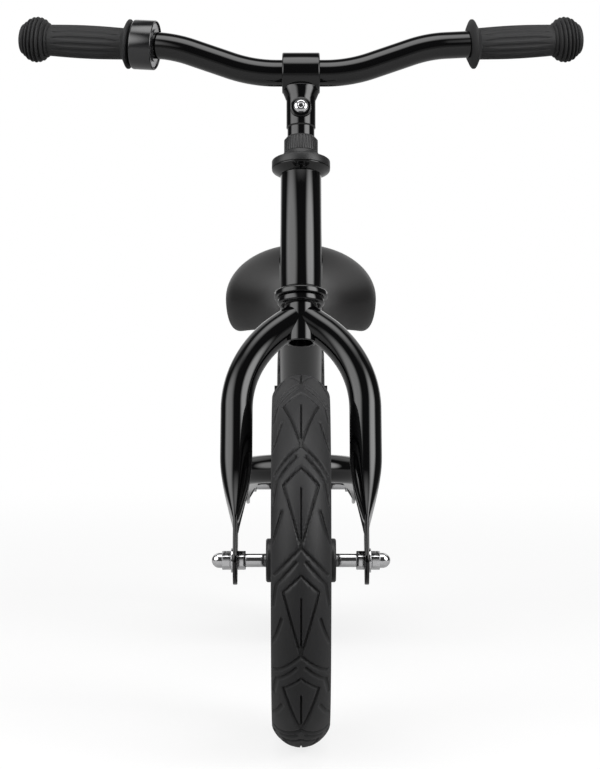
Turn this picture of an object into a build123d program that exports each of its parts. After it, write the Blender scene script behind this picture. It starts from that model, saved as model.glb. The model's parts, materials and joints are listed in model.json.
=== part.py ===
from build123d import *
import math
import os

# Children's balance bike, millimetres. +Z is up, the front of the bike faces -Y,
# the origin lies on the ground midway between the two axles.

# Fits
seat_clearance = 0.05
running_clearance = 0.08
axial_play = 0.3

# Wheels and tyres
wheelbase = 548.0
wheel_radius = 144.0
tyre_width = 44.5
tyre_crown_height = 16.5
tyre_crown_share = 0.62
tyre_crown_fullness = 0.68
tyre_ridge_half = 2.0
tyre_edge_round = 4.0
tread_repeats = 11
tread_phase = 4.9
tread_groove_width = 2.2
tread_groove_depth = 1.8
tread_half_width = 19.5
kite_half_width = 13.0
kite_head = 13.0
kite_length = 62.0
hook_lead = 9.5
hook_root_half = 3.5
hook_turn = 7.5
hook_turn_half = 18.0
hook_length = 25.0
hook_end_half = 20.5
rim_width = 34.0
rim_flange_radius = 108.0
rim_flange_thickness = 3.2
rim_channel_depth = 7.5
rim_wall = 4.0
spoke_count = 5
spoke_root_width = 17.0
spoke_tip_width = 32.0
spoke_thickness = 16.0
spoke_pocket_depth = 5.5
spoke_pocket_edge = 4.0
hub_radius = 15.5
hub_half_length = 25.0
hub_cap_radius = 17.0
hub_cap_thickness = 2.1
hub_cap_lip = 4.0
hub_cap_chamfer = 0.8
hub_cap_hole_clearance = 0.6

# Ball bearings
bearing_outer_radius = 11.0
bearing_width = 7.0
bearing_split_radius = 7.4
bearing_shoulder = 1.8

# Axles and their fasteners
axle_radius = 4.0
axle_end_gap = 1.0
spacer_radius = 5.25
hex_across_flats = 13.0
locknut_thickness = 6.4
washer_radius = 9.5
washer_thickness = 1.5
acorn_hex_thickness = 7.0
acorn_length = 15.0
acorn_dome_radius = 5.9
acorn_bore_depth = 10.5

# Fork and rear yoke tubes with flattened dropouts
tube_radius = 12.7
tube_wall = 1.6
dropout_spacing = 102.0
dropout_thickness = 3.4
pinch_length = 52.0
pinch_fullness = 1.15
pinch_steps = 5
plate_above_axle = 37.0

# Steering geometry
rake_angle = 20.0
fork_offset = 24.0
fork_splay = 54.0
fork_bend_radius = 85.0
tyre_to_steerer = 39.0
steerer_below_crown = 23.0
steerer_radius = 12.7
steerer_bore_radius = 11.2
steerer_butt_radius = 10.0
steerer_butt_length = 45.0

# Headset
crown_to_race = 8.5
crown_race_height = 5.7
crown_race_radius = 18.8
race_chamfer = 1.2
cup_spigot_depth = 12.0
lower_cup_radius = 21.4
lower_cup_rim = 4.5
lower_cup_taper = 2.5
upper_cup_radius = 23.8
upper_cup_taper = 4.5
upper_cup_rim = 0.7
head_tube_radius = 16.75
head_tube_bore_radius = 15.1
head_tube_length = 98.0
headset_cap_rim = 6.5
headset_cap_cone = 7.0
headset_cap_neck_radius = 14.3
headset_cap_hollow = 2.6

# Stem lock collar
collar_radius = 13.8
collar_height = 13.2
collar_chamfer = 2.2
collar_flute_count = 24
collar_flute_radius = 0.5
collar_over_steerer = 3.0

# Stem
quill_radius = 11.1
quill_wall = 1.9
quill_insertion = 118.0
collar_to_lug = 9.0
lug_radius = 12.0
lug_to_bolt = 13.0
bolt_to_neck = 10.0
neck_height = 14.0
neck_half_depth = 13.5
bolt_to_bar = 35.0
sleeve_radius = 17.0
sleeve_width = 31.0
sleeve_edge_round = 1.2
clamp_slit = 1.6
clamp_slit_foot = 5.0
clamp_boss_radius = 8.5
clamp_boss_half = 15.0
clamp_bolt_radius = 3.0
clamp_head_radius = 6.0
clamp_head_height = 4.0
clamp_head_round = 0.6
clamp_socket_flats = 4.0
clamp_socket_depth = 2.4
clamp_nut_flats = 10.0
clamp_nut_thickness = 5.0

# Handlebar
bar_radius = 11.1
bar_wall = 1.6
bar_centre_half = 33.0
bar_rise_end = 98.0
bar_rise = 23.5
bar_half_width = 224.0
bar_end_rise = 38.8
bar_backsweep = 21.0
bar_bend_radius = 65.0

# Grips
grip_length = 86.8
grip_radius = 13.4
grip_swell = 0.5
grip_flange_radius = 20.5
grip_flange_base = 6.7
grip_flange_rim = 1.7
grip_flange_foot_radius = 15.5
grip_ball_radius = 19.0
grip_ball_half_length = 15.0
grip_ball_inset = 4.3
grip_tip_flat = 3.0
grip_fin_count = 7
grip_fin_pitch = 3.3
grip_fin_groove = 1.1
grip_fin_depth = 1.7

# Twist bell
bell_length = 19.0
bell_ring_radius = 20.5
bell_ring_wall = 1.3
bell_ring_chamfer = 0.8
bell_base_wall = 2.4
bell_gong_wall = 1.0
bell_gong_length = 11.0
bell_gong_gap = 1.1
bell_striker_radius = 1.0
bell_striker_length = 9.0

# Frame tubes
main_tube_radius = 17.5
main_tube_wall = 1.6
main_tube_above_cup = 27.5
seat_tube_radius = 14.3
seat_tube_bore_radius = 12.8
seat_tube_angle = 20.0
seat_tube_above_joint = 80.0
seat_tube_below_joint = 39.0
seat_slot_width = 2.0
seat_slot_length = 28.0
yoke_length = 183.0
yoke_slope = 10.8
yoke_bend_radius = 50.5
yoke_weld_bite = 1.2

# Seat clamp
clamp_collar_wall = 2.8
clamp_collar_height = 18.0
clamp_ear_reach = 13.0
clamp_ear_half_width = 16.0
clamp_gap = 2.4
seat_bolt_radius = 3.0
seat_bolt_head_radius = 5.5
seat_bolt_head_length = 8.0

# Seat post and saddle
seat_post_radius = 12.7
seat_post_wall = 1.6
seat_post_insertion = 95.0
seat_post_exposed = 47.0
mount_plate_length = 84.0
mount_plate_width = 40.0
mount_plate_corner = 8.0
mount_plate_thickness = 3.0
saddle_nose_overhang = 111.0
saddle_base_height = 14.0
saddle_base_inset = 7.0
saddle_screw_radius = 2.5
saddle_screw_head_radius = 4.6
saddle_screw_head_height = 2.6
saddle_screw_grip = 8.0
saddle_screw_half_pitch = 32.0
saddle_screw_half_gauge = 14.0

# Saddle stations from the nose: distance back, half width, underside and crown above the base
saddle_stations = [
    (0.0, 13.0, 8.0, 30.0),
    (25.0, 21.0, 0.0, 41.0),
    (70.0, 27.0, -4.0, 43.0),
    (112.0, 43.0, -8.0, 47.0),
    (155.0, 68.0, -12.0, 60.0),
    (187.0, 57.0, -10.0, 73.0),
    (205.0, 34.0, 8.0, 70.0),
]
saddle_foot_share = 0.72
saddle_widest_share = 0.38
saddle_shoulder_share = 0.62
saddle_crown_share = 0.16


# Derived frame of reference

front_axle = Vector(0, -wheelbase / 2, wheel_radius)
rear_axle = Vector(0, wheelbase / 2, wheel_radius)
dropout_x = dropout_spacing / 2
dropout_inner = dropout_x - dropout_thickness / 2
dropout_outer = dropout_x + dropout_thickness / 2
rake_sin = math.sin(math.radians(rake_angle))
rake_cos = math.cos(math.radians(rake_angle))
steering_up = Vector(0, rake_sin, rake_cos)
steering_back = Vector(0, rake_cos, -rake_sin)
steering_foot = front_axle + steering_back * fork_offset
steering = Plane(origin=steering_foot, x_dir=(1, 0, 0), z_dir=steering_up)

# Stations along the steering axis, from the foot of the perpendicular to the front axle
steerer_bottom = wheel_radius + tyre_to_steerer
crown_station = steerer_bottom + steerer_below_crown
race_bottom = crown_station + crown_to_race
race_top = race_bottom + crown_race_height
lower_cup_bottom = race_top + axial_play
head_bottom = lower_cup_bottom + lower_cup_rim + lower_cup_taper
head_top = head_bottom + head_tube_length
upper_cup_top = head_top + upper_cup_taper + upper_cup_rim
cap_bottom = upper_cup_top + axial_play
cap_top = cap_bottom + headset_cap_rim + headset_cap_cone
collar_bottom = cap_top + axial_play
collar_top = collar_bottom + collar_height
steerer_top = collar_top - collar_over_steerer
lug_bottom = collar_top + collar_to_lug
clamp_station = lug_bottom + lug_to_bolt
bar_station = clamp_station + bolt_to_bar
quill_bottom = steerer_top - quill_insertion

# Seat tube axis, measured upwards from its joint with the rear yoke
yoke_cos = math.cos(math.radians(yoke_slope))
yoke_sin = math.sin(math.radians(yoke_slope))
yoke_back = Vector(0, yoke_cos, -yoke_sin)
yoke_front = rear_axle - yoke_back * yoke_length
seat_sin = math.sin(math.radians(seat_tube_angle))
seat_cos = math.cos(math.radians(seat_tube_angle))
seat_up = Vector(0, seat_sin, seat_cos)
seat_back = Vector(0, seat_cos, -seat_sin)
seat_joint = yoke_front - seat_back * (seat_tube_radius + tube_radius - yoke_weld_bite)
seat_axis = Plane(origin=seat_joint, x_dir=(1, 0, 0), z_dir=seat_up)
plate_top_z = (seat_joint + seat_up * (seat_tube_above_joint + seat_post_exposed)).Z
post_top_y = (seat_joint + seat_up * (seat_tube_above_joint + seat_post_exposed)).Y
plate_bottom_z = plate_top_z - mount_plate_thickness
saddle_nose_y = post_top_y - saddle_nose_overhang

nodes = {}


def turned(points):
    """Solid of revolution about the local Z axis from (radius, height) points."""
    profile = Polyline([(radius, 0, height) for radius, height in points], close=True)
    return revolve(make_face(profile), Axis.Z)


def turned_on_x(points):
    """Solid of revolution about the X axis from (x, radius) points."""
    profile = Polyline([(x, radius, 0) for x, radius in points], close=True)
    return revolve(make_face(profile), Axis.X)


def tube_on_x(outer, inner, start, end):
    section = Plane.YZ.offset(start) * (Circle(outer) - Circle(inner))
    return extrude(section, end - start)


def rod_on_x(radius, start, end):
    return extrude(Plane.YZ.offset(start) * Circle(radius), end - start)


def hex_on_x(across_flats, start, end):
    hexagon = RegularPolygon(across_flats / 2, 6, major_radius=False)
    return extrude(Plane.YZ.offset(start) * hexagon, end - start)


def rod(radius, bottom, top):
    """Round bar on the local Z axis."""
    return extrude(Plane.XY.offset(bottom) * Circle(radius), top - bottom)


def both_sides(shape):
    return shape + mirror(shape, about=Plane.YZ)


def bent_tube(path, radius, wall):
    start = Plane(origin=path @ 0, z_dir=path % 0)
    return sweep(start * Circle(radius), path) - sweep(start * Circle(radius - wall), path)


# Flattened tube end with its axle plate; local X is the plate's thickness, local Z runs to the axle

def flattened(half_thickness, inset):
    """Section of a round tube squeezed to a thickness, its girth kept."""
    half = half_thickness - inset
    if half_thickness >= tube_radius:
        return Circle(half)
    straight = math.pi * (tube_radius - half_thickness)
    return SlotOverall(2 * half + straight, 2 * half, rotation=90)


def pinch_half_thickness(share):
    plate_half = dropout_thickness / 2
    return plate_half + (tube_radius - plate_half) * max(0, math.cos(share * math.pi / 2)) ** pinch_fullness


def pinched_end():
    stations = [step / pinch_steps for step in range(pinch_steps + 1)]
    squeeze = [(share * pinch_length, pinch_half_thickness(share)) for share in stations]
    shell = loft([Plane.XY.offset(z) * flattened(half, 0) for z, half in squeeze])
    hollow = [(z, half) for z, half in squeeze if half > 2 * tube_wall]
    cavity = loft([Plane.XY.offset(z) * flattened(half, tube_wall) for z, half in hollow])
    axle_station = pinch_length + plate_above_axle
    half_width = (math.pi * (tube_radius - dropout_thickness / 2) + dropout_thickness) / 2
    sheet = Rectangle(2 * half_width, plate_above_axle)
    sheet = Pos(0, pinch_length + plate_above_axle / 2) * sheet
    sheet += Pos(0, axle_station) * Circle(half_width)
    sheet -= Pos(0, axle_station) * Circle(axle_radius + seat_clearance)
    plate = extrude(Plane.YZ * sheet, dropout_thickness / 2, both=True)
    return shell - cavity + plate


# Front fork: steerer tube with two bent legs welded to it

def fork_leg():
    leg_top = steering_foot + steering_up * crown_station
    leg_plane = Plane(origin=leg_top, x_dir=(1, 0, 0), z_dir=front_axle - leg_top)
    leg_length = (front_axle - leg_top).length
    pinch_start = leg_length - pinch_length - plate_above_axle
    splay_depth = dropout_x / math.tan(math.radians(fork_splay))
    path = FilletPolyline(
        (0, 0, 0), (dropout_x, 0, splay_depth), (dropout_x, 0, pinch_start), radius=fork_bend_radius
    )
    leg = bent_tube(path, tube_radius, tube_wall) + Pos(dropout_x, 0, pinch_start) * pinched_end()
    leg = leg_plane * leg
    leg -= steering * rod(steerer_radius, steerer_bottom, head_top)
    return split(leg, bisect_by=Plane.YZ, keep=Keep.TOP)


def make_fork():
    leg = fork_leg()
    nodes["fork_leg_left"] = leg
    nodes["fork_leg_right"] = mirror(leg, about=Plane.YZ)
    butt_top = steerer_bottom + steerer_butt_length
    nodes["steerer_tube"] = steering * turned([
        (steerer_butt_radius, steerer_bottom),
        (steerer_radius, steerer_bottom),
        (steerer_radius, steerer_top),
        (steerer_bore_radius, steerer_top),
        (steerer_bore_radius, butt_top),
        (steerer_butt_radius, butt_top),
    ])


# Headset: race on the fork, bushes pressed in the head tube, and the screwed cap

def make_headset():
    on_steerer = steerer_radius + seat_clearance
    around_steerer = steerer_radius + running_clearance
    in_head_tube = head_tube_bore_radius - seat_clearance
    nodes["crown_race"] = steering * turned([
        (on_steerer, race_bottom),
        (crown_race_radius - race_chamfer, race_bottom),
        (crown_race_radius, race_bottom + race_chamfer),
        (crown_race_radius, race_top),
        (on_steerer, race_top),
    ])
    nodes["lower_headset_cup"] = steering * turned([
        (around_steerer, lower_cup_bottom),
        (lower_cup_radius, lower_cup_bottom),
        (lower_cup_radius, lower_cup_bottom + lower_cup_rim),
        (head_tube_radius, head_bottom),
        (in_head_tube, head_bottom),
        (in_head_tube, head_bottom + cup_spigot_depth),
        (around_steerer, head_bottom + cup_spigot_depth),
    ])
    nodes["upper_headset_cup"] = steering * turned([
        (around_steerer, head_top - cup_spigot_depth),
        (in_head_tube, head_top - cup_spigot_depth),
        (in_head_tube, head_top),
        (head_tube_radius, head_top),
        (upper_cup_radius, head_top + upper_cup_taper),
        (upper_cup_radius, upper_cup_top),
        (around_steerer, upper_cup_top),
    ])
    rim_top = cap_bottom + headset_cap_rim
    cone_arc = ThreePointArc(
        (upper_cup_radius, 0, rim_top),
        (headset_cap_neck_radius + headset_cap_hollow, 0, rim_top + headset_cap_hollow),
        (headset_cap_neck_radius, 0, cap_top),
    )
    sides = Polyline([
        (headset_cap_neck_radius, 0, cap_top),
        (on_steerer, 0, cap_top),
        (on_steerer, 0, cap_bottom),
        (upper_cup_radius, 0, cap_bottom),
        (upper_cup_radius, 0, rim_top),
    ])
    nodes["headset_cap"] = steering * revolve(make_face(cone_arc + sides), Axis.Z)
    nodes["stem_lock_collar"] = steering * lock_collar()


def lock_collar():
    on_steerer = steerer_radius + seat_clearance
    on_quill = quill_radius + running_clearance
    collar = turned([
        (on_steerer, collar_bottom),
        (collar_radius, collar_bottom),
        (collar_radius, collar_top - collar_chamfer),
        (collar_radius - collar_chamfer, collar_top),
        (on_quill, collar_top),
        (on_quill, steerer_top + axial_play),
        (on_steerer, steerer_top + axial_play),
    ])
    flute = rod(collar_flute_radius, collar_bottom, collar_top)
    flutes = PolarLocations(collar_radius + collar_flute_radius / 2, collar_flute_count) * flute
    return collar - flutes


# Stem: quill, clamp lug and bar sleeve in one casting, closed by a fore and aft bolt

def make_stem():
    bore_top = lug_bottom - quill_wall
    neck_bottom = clamp_station + bolt_to_neck
    quill = rod(quill_radius, quill_bottom, lug_bottom)
    lug = rod(lug_radius, lug_bottom, neck_bottom)
    neck = loft([
        Plane.XY.offset(neck_bottom) * Circle(lug_radius),
        Plane.XY.offset(neck_bottom + neck_height) * Ellipse(sleeve_width / 2, neck_half_depth),
    ])
    sleeve = Pos(0, 0, bar_station) * rod_on_x(sleeve_radius, -sleeve_width / 2, sleeve_width / 2)
    sleeve = fillet(sleeve.edges().filter_by(GeomType.CIRCLE), sleeve_edge_round)
    boss = extrude(Plane.XZ * Circle(clamp_boss_radius), clamp_boss_half, both=True)
    boss = Pos(0, 0, clamp_station) * boss
    stem = quill + lug + neck + sleeve + boss
    stem -= rod(quill_radius - quill_wall, quill_bottom, bore_top)
    bar_bore = bar_radius + seat_clearance
    stem -= Pos(0, 0, bar_station) * rod_on_x(bar_bore, -sleeve_width, sleeve_width)
    bolt_hole = clamp_bolt_radius + seat_clearance
    stem -= Pos(0, 0, clamp_station) * extrude(Plane.XZ * Circle(bolt_hole), 2 * clamp_boss_half, both=True)
    slit_bottom = lug_bottom + clamp_slit_foot
    slit = Box(2 * sleeve_width, clamp_slit, bar_station - slit_bottom)
    stem -= Pos(0, 0, (bar_station + slit_bottom) / 2) * slit
    nodes["stem"] = steering * stem
    make_stem_bolt()


def make_stem_bolt():
    shank = extrude(Plane.XZ.offset(-clamp_boss_half - clamp_nut_thickness) * Circle(clamp_bolt_radius),
                    2 * clamp_boss_half + clamp_nut_thickness)
    head = extrude(Plane.XZ.offset(clamp_boss_half) * Circle(clamp_head_radius), clamp_head_height)
    rim = head.faces().sort_by(Axis.Y)[0].edges()
    head = fillet(rim, clamp_head_height * clamp_head_round)
    socket = RegularPolygon(clamp_socket_flats / 2, 6, major_radius=False)
    socket_floor = clamp_boss_half + clamp_head_height - clamp_socket_depth
    bolt = shank + head - extrude(Plane.XZ.offset(socket_floor) * socket, clamp_socket_depth)
    nodes["stem_clamp_bolt"] = steering * (Pos(0, 0, clamp_station) * bolt)
    hexagon = RegularPolygon(clamp_nut_flats / 2, 6, major_radius=False)
    hexagon -= Circle(clamp_bolt_radius + seat_clearance)
    nut = extrude(Plane.XZ.offset(-clamp_boss_half) * hexagon, -clamp_nut_thickness)
    nodes["stem_clamp_nut"] = steering * (Pos(0, 0, clamp_station) * nut)


# Handlebar: one bent tube through the stem sleeve

def bar_corners():
    """Right-hand corners of the bar's centre line, above and behind the sleeve's centre."""
    return [
        Vector(bar_centre_half, 0, bar_station),
        Vector(bar_rise_end, 0, bar_station + bar_rise),
        Vector(bar_half_width, bar_backsweep, bar_station + bar_end_rise),
    ]


def mirrored(point):
    return Vector(-point.X, point.Y, point.Z)


def make_handlebar():
    right = bar_corners()
    left = [mirrored(point) for point in reversed(right)]
    path = FilletPolyline(*left, *right, radius=bar_bend_radius)
    nodes["handlebar"] = steering * bent_tube(path, bar_radius, bar_wall)


def bar_end_plane():
    """Plane at the bar's end on the +X side, its Z along the grip, outwards."""
    corners = bar_corners()
    return steering * Plane(origin=corners[2], x_dir=(0, 1, 0), z_dir=corners[2] - corners[1])


# Rubber grips with a guard flange and a finned ball end

def ball_radius_at(offset):
    """Radius of the ball end at a distance from its middle."""
    return grip_ball_radius * math.sqrt(1 - (offset / grip_ball_half_length) ** 2)


def grip_fins(ball_centre):
    """Profile points of the rounded fins round the ball end."""
    half_fin = (grip_fin_pitch - grip_fin_groove) / 2
    points = []
    for index in range(grip_fin_count):
        middle = (index - (grip_fin_count - 1) / 2) * grip_fin_pitch
        low = middle - half_fin
        high = middle + half_fin
        low_floor = max(ball_radius_at(low) - grip_fin_depth, grip_radius - grip_swell)
        high_floor = max(ball_radius_at(high) - grip_fin_depth, grip_radius - grip_swell)
        points.append((low_floor, ball_centre + low))
        points.append((ball_radius_at(middle), ball_centre + middle - half_fin / 2))
        points.append((ball_radius_at(middle), ball_centre + middle + half_fin / 2))
        points.append((high_floor, ball_centre + high))
    return points


def grip():
    bore = bar_radius + seat_clearance
    ball_centre = -grip_ball_inset
    tip = ball_centre + grip_ball_half_length
    foot_top = -grip_length + grip_flange_base
    rim_middle = -grip_length + grip_flange_base / 2
    points = [
        (0, axial_play),
        (bore, axial_play),
        (bore, -grip_length),
        (grip_flange_foot_radius, -grip_length),
        (grip_flange_radius, rim_middle - grip_flange_rim / 2),
        (grip_flange_radius, rim_middle + grip_flange_rim / 2),
        (grip_flange_foot_radius, foot_top),
        (grip_radius - grip_swell, foot_top + grip_swell),
        (grip_radius + grip_swell, -grip_length / 2),
    ] + grip_fins(ball_centre)
    dome_start = points[-1]
    dome_middle = (ball_centre + grip_ball_half_length + dome_start[1]) / 2
    outline = Polyline([(radius, 0, z) for radius, z in points])
    outline += ThreePointArc(
        (dome_start[0], 0, dome_start[1]),
        (ball_radius_at(dome_middle - ball_centre), 0, dome_middle),
        (grip_tip_flat, 0, tip),
    )
    outline += Polyline([(grip_tip_flat, 0, tip), (0, 0, tip), (0, 0, axial_play)])
    return revolve(make_face(outline), Axis.Z)


def make_grips():
    plane = bar_end_plane()
    nodes["grip_left"] = plane * grip()
    nodes["grip_right"] = mirror(plane * grip(), about=Plane.YZ)


# Twist bell beside the right-hand grip: clip base, gong, turning ring and striker

def make_bell():
    plane = bar_end_plane()
    outer_end = -grip_length - axial_play
    inner_end = outer_end - bell_length
    base_bore = bar_radius + seat_clearance
    base_radius = base_bore + bell_base_wall
    ring_bore = base_radius + running_clearance
    ring_inner = bell_ring_radius - bell_ring_wall
    gong_radius = ring_inner - bell_gong_gap
    gong_bottom = inner_end + bell_gong_gap
    base = turned([
        (base_bore, inner_end),
        (base_radius, inner_end),
        (base_radius, outer_end),
        (base_bore, outer_end),
    ])
    gong = turned([
        (base_radius + seat_clearance, gong_bottom),
        (gong_radius, gong_bottom),
        (gong_radius, gong_bottom + bell_gong_length),
        (gong_radius - bell_gong_wall, gong_bottom + bell_gong_length),
        (gong_radius - bell_gong_wall, gong_bottom + bell_gong_wall),
        (base_radius + seat_clearance, gong_bottom + bell_gong_wall),
    ])
    ring = turned([
        (ring_bore, outer_end - bell_ring_wall),
        (ring_inner, outer_end - bell_ring_wall),
        (ring_inner, inner_end),
        (bell_ring_radius - bell_ring_chamfer, inner_end),
        (bell_ring_radius, inner_end + bell_ring_chamfer),
        (bell_ring_radius, outer_end - bell_ring_chamfer),
        (bell_ring_radius - bell_ring_chamfer, outer_end),
        (ring_bore, outer_end),
    ])
    striker_at = (base_radius + gong_radius - bell_gong_wall) / 2
    striker_top = outer_end - bell_ring_wall
    striker = Pos(striker_at, 0) * rod(bell_striker_radius, striker_top - bell_striker_length, striker_top)
    pieces = {"bell_base": base, "bell_gong": gong, "bell_ring": ring, "bell_striker": striker}
    for name, piece in pieces.items():
        nodes[name] = mirror(plane * piece, about=Plane.YZ)


# Main frame: head tube, main tube, seat tube and the U-shaped rear yoke, welded together

def make_frame():
    nodes["head_tube"] = steering * turned([
        (head_tube_bore_radius, head_bottom),
        (head_tube_radius, head_bottom),
        (head_tube_radius, head_top),
        (head_tube_bore_radius, head_top),
    ])
    head_joint = steering_foot + steering_up * (head_bottom + main_tube_above_cup)
    main_plane = Plane(origin=head_joint, x_dir=(1, 0, 0), z_dir=seat_joint - head_joint)
    main_length = (seat_joint - head_joint).length
    seat_tube_bottom = -seat_tube_below_joint
    head_solid = steering * rod(head_tube_radius, head_bottom, head_top)
    seat_solid = seat_axis * rod(seat_tube_radius, seat_tube_bottom, seat_tube_above_joint)
    section = Circle(main_tube_radius) - Circle(main_tube_radius - main_tube_wall)
    nodes["main_tube"] = main_plane * extrude(section, main_length) - head_solid - seat_solid
    seat_tube = rod(seat_tube_radius, seat_tube_bottom, seat_tube_above_joint)
    seat_tube -= rod(seat_tube_bore_radius, seat_tube_bottom, seat_tube_above_joint)
    slot = Box(seat_slot_width, 2 * seat_tube_radius, seat_slot_length)
    seat_tube -= Pos(0, seat_tube_radius, seat_tube_above_joint - seat_slot_length / 2) * slot
    nodes["seat_tube"] = seat_axis * seat_tube
    nodes["rear_yoke"] = rear_yoke() - seat_solid


def rear_yoke():
    plane = Plane(origin=yoke_front, x_dir=(1, 0, 0), z_dir=yoke_back)
    pinch_start = yoke_length - pinch_length - plate_above_axle
    path = FilletPolyline(
        (-dropout_x, 0, pinch_start), (-dropout_x, 0, 0), (dropout_x, 0, 0), (dropout_x, 0, pinch_start),
        radius=yoke_bend_radius,
    )
    end = Pos(dropout_x, 0, pinch_start) * pinched_end()
    return plane * (bent_tube(path, tube_radius, tube_wall) + both_sides(end))


# Seat clamp: slit collar over the seat tube's rim with a cross bolt through its ears

def make_seat_clamp():
    bore = seat_tube_radius + seat_clearance
    outer = bore + clamp_collar_wall
    bottom = seat_tube_above_joint - clamp_collar_height
    ear_y = outer + clamp_ear_reach / 2
    middle = (bottom + seat_tube_above_joint) / 2
    collar = rod(outer, bottom, seat_tube_above_joint)
    ear = Box(2 * clamp_ear_half_width, clamp_ear_reach + outer, clamp_collar_height)
    collar += Pos(0, (clamp_ear_reach + outer) / 2, middle) * ear
    collar -= rod(bore, bottom, seat_tube_above_joint)
    collar -= Pos(0, outer, middle) * Box(clamp_gap, 2 * outer, clamp_collar_height)
    hole = rod_on_x(seat_bolt_radius + seat_clearance, -2 * outer, 2 * outer)
    collar -= Pos(0, ear_y, middle) * hole
    nodes["seat_clamp_collar"] = seat_axis * collar
    head_end = clamp_ear_half_width + seat_bolt_head_length
    shank = rod_on_x(seat_bolt_radius, -head_end, clamp_ear_half_width)
    head = rod_on_x(seat_bolt_head_radius, clamp_ear_half_width, head_end)
    nut_bore = seat_bolt_radius + seat_clearance
    nut = tube_on_x(seat_bolt_head_radius, nut_bore, -head_end, -clamp_ear_half_width)
    nodes["seat_clamp_bolt"] = seat_axis * (Pos(0, ear_y, middle) * (shank + head))
    nodes["seat_clamp_nut"] = seat_axis * (Pos(0, ear_y, middle) * nut)


# Seat post and saddle: tube, welded plate, moulded base, padded cover and screws

def make_saddle():
    post_bottom = seat_tube_above_joint - seat_post_insertion
    post_top = seat_tube_above_joint + seat_post_exposed + seat_post_radius
    post = rod(seat_post_radius, post_bottom, post_top)
    post -= rod(seat_post_radius - seat_post_wall, post_bottom, post_top)
    cut_plane = Plane(origin=(0, 0, plate_bottom_z), x_dir=(1, 0, 0), z_dir=(0, 0, 1))
    nodes["seat_post"] = split(seat_axis * post, bisect_by=cut_plane, keep=Keep.BOTTOM)
    plate_at = Plane(origin=(0, post_top_y, plate_bottom_z))
    outline = RectangleRounded(mount_plate_width, mount_plate_length, mount_plate_corner)
    plate = extrude(outline, mount_plate_thickness)
    screw_places = [
        (side * saddle_screw_half_gauge, end * saddle_screw_half_pitch) for side in (-1, 1) for end in (-1, 1)
    ]
    screw_hole = rod(saddle_screw_radius + seat_clearance, 0, mount_plate_thickness + saddle_screw_grip)
    screw = rod(saddle_screw_radius, 0, mount_plate_thickness + saddle_screw_grip)
    screw += rod(saddle_screw_head_radius, -saddle_screw_head_height, 0)
    holes = Locations(*screw_places) * screw_hole
    nodes["saddle_mount_plate"] = plate_at * (plate - holes)
    nodes["saddle_screws"] = plate_at * Compound(children=list(Locations(*screw_places) * screw))
    nodes["saddle_base"] = saddle_base() - [plate_at * hole for hole in holes]
    nodes["saddle_pad"] = saddle_cover() - saddle_pocket()


def saddle_outline(inset):
    """Plan of the moulded base: the pad's plan drawn in by the inset."""
    right = [(half - inset, saddle_nose_y + back) for back, half, low, high in saddle_stations]
    nose = saddle_nose_y + inset
    tail = saddle_nose_y + saddle_stations[-1][0] - inset
    inner = [point for point in right if nose < point[1] < tail]
    edge = Spline([(0, nose)] + inner + [(0, tail)], tangents=[(1, 0), (-1, 0)])
    half = make_face(edge + Line((0, tail), (0, nose)))
    return half + mirror(half, about=Plane.YZ)


def saddle_base():
    return extrude(Plane.XY.offset(plate_top_z) * saddle_outline(saddle_base_inset), saddle_base_height)


def saddle_pocket():
    depth = 4 * saddle_base_height
    plan = saddle_outline(saddle_base_inset - seat_clearance)
    return extrude(Plane.XY.offset(plate_top_z + saddle_base_height) * plan, -depth)


def saddle_cover():
    """Padded cover: crowned sections with sides that draw in below their widest line."""
    sections = []
    for back, half, low, high in saddle_stations:
        foot = half * saddle_foot_share
        shoulder = half * saddle_shoulder_share
        side_z = low + (high - low) * saddle_widest_share
        shoulder_z = high - (high - low) * saddle_crown_share
        outline = Polyline((-foot, low), (foot, low))
        outline += ThreePointArc((foot, low), (half, side_z), (shoulder, shoulder_z))
        outline += ThreePointArc((shoulder, shoulder_z), (0, high), (-shoulder, shoulder_z))
        outline += ThreePointArc((-shoulder, shoulder_z), (-half, side_z), (-foot, low))
        plane = Plane(origin=(0, saddle_nose_y + back, plate_top_z), x_dir=(1, 0, 0), z_dir=(0, -1, 0))
        sections.append(plane * make_face(outline))
    return loft(sections)


# Wheels: moulded nylon rim, foam tyre, two bearings and press-on hub caps, about the X axis

def wheel_rim():
    half = rim_width / 2
    channel = rim_flange_radius - rim_channel_depth
    well = channel - rim_wall
    flange_inner = half - rim_flange_thickness
    hoop = turned_on_x([
        (-half, rim_flange_radius), (-half, well), (half, well), (half, rim_flange_radius),
        (flange_inner, rim_flange_radius), (flange_inner, channel),
        (-flange_inner, channel), (-flange_inner, rim_flange_radius),
    ])
    hub = rod_on_x(hub_radius, -hub_half_length, hub_half_length)
    rim = hoop + hub + [Rot(360 * index / spoke_count, 0, 0) * spoke(well) for index in range(spoke_count)]
    seat_depth = hub_half_length - bearing_width
    rim -= rod_on_x(bearing_outer_radius - bearing_shoulder, -hub_half_length, hub_half_length)
    seat = rod_on_x(bearing_outer_radius + seat_clearance, seat_depth, hub_half_length)
    return rim - both_sides(seat)


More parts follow.
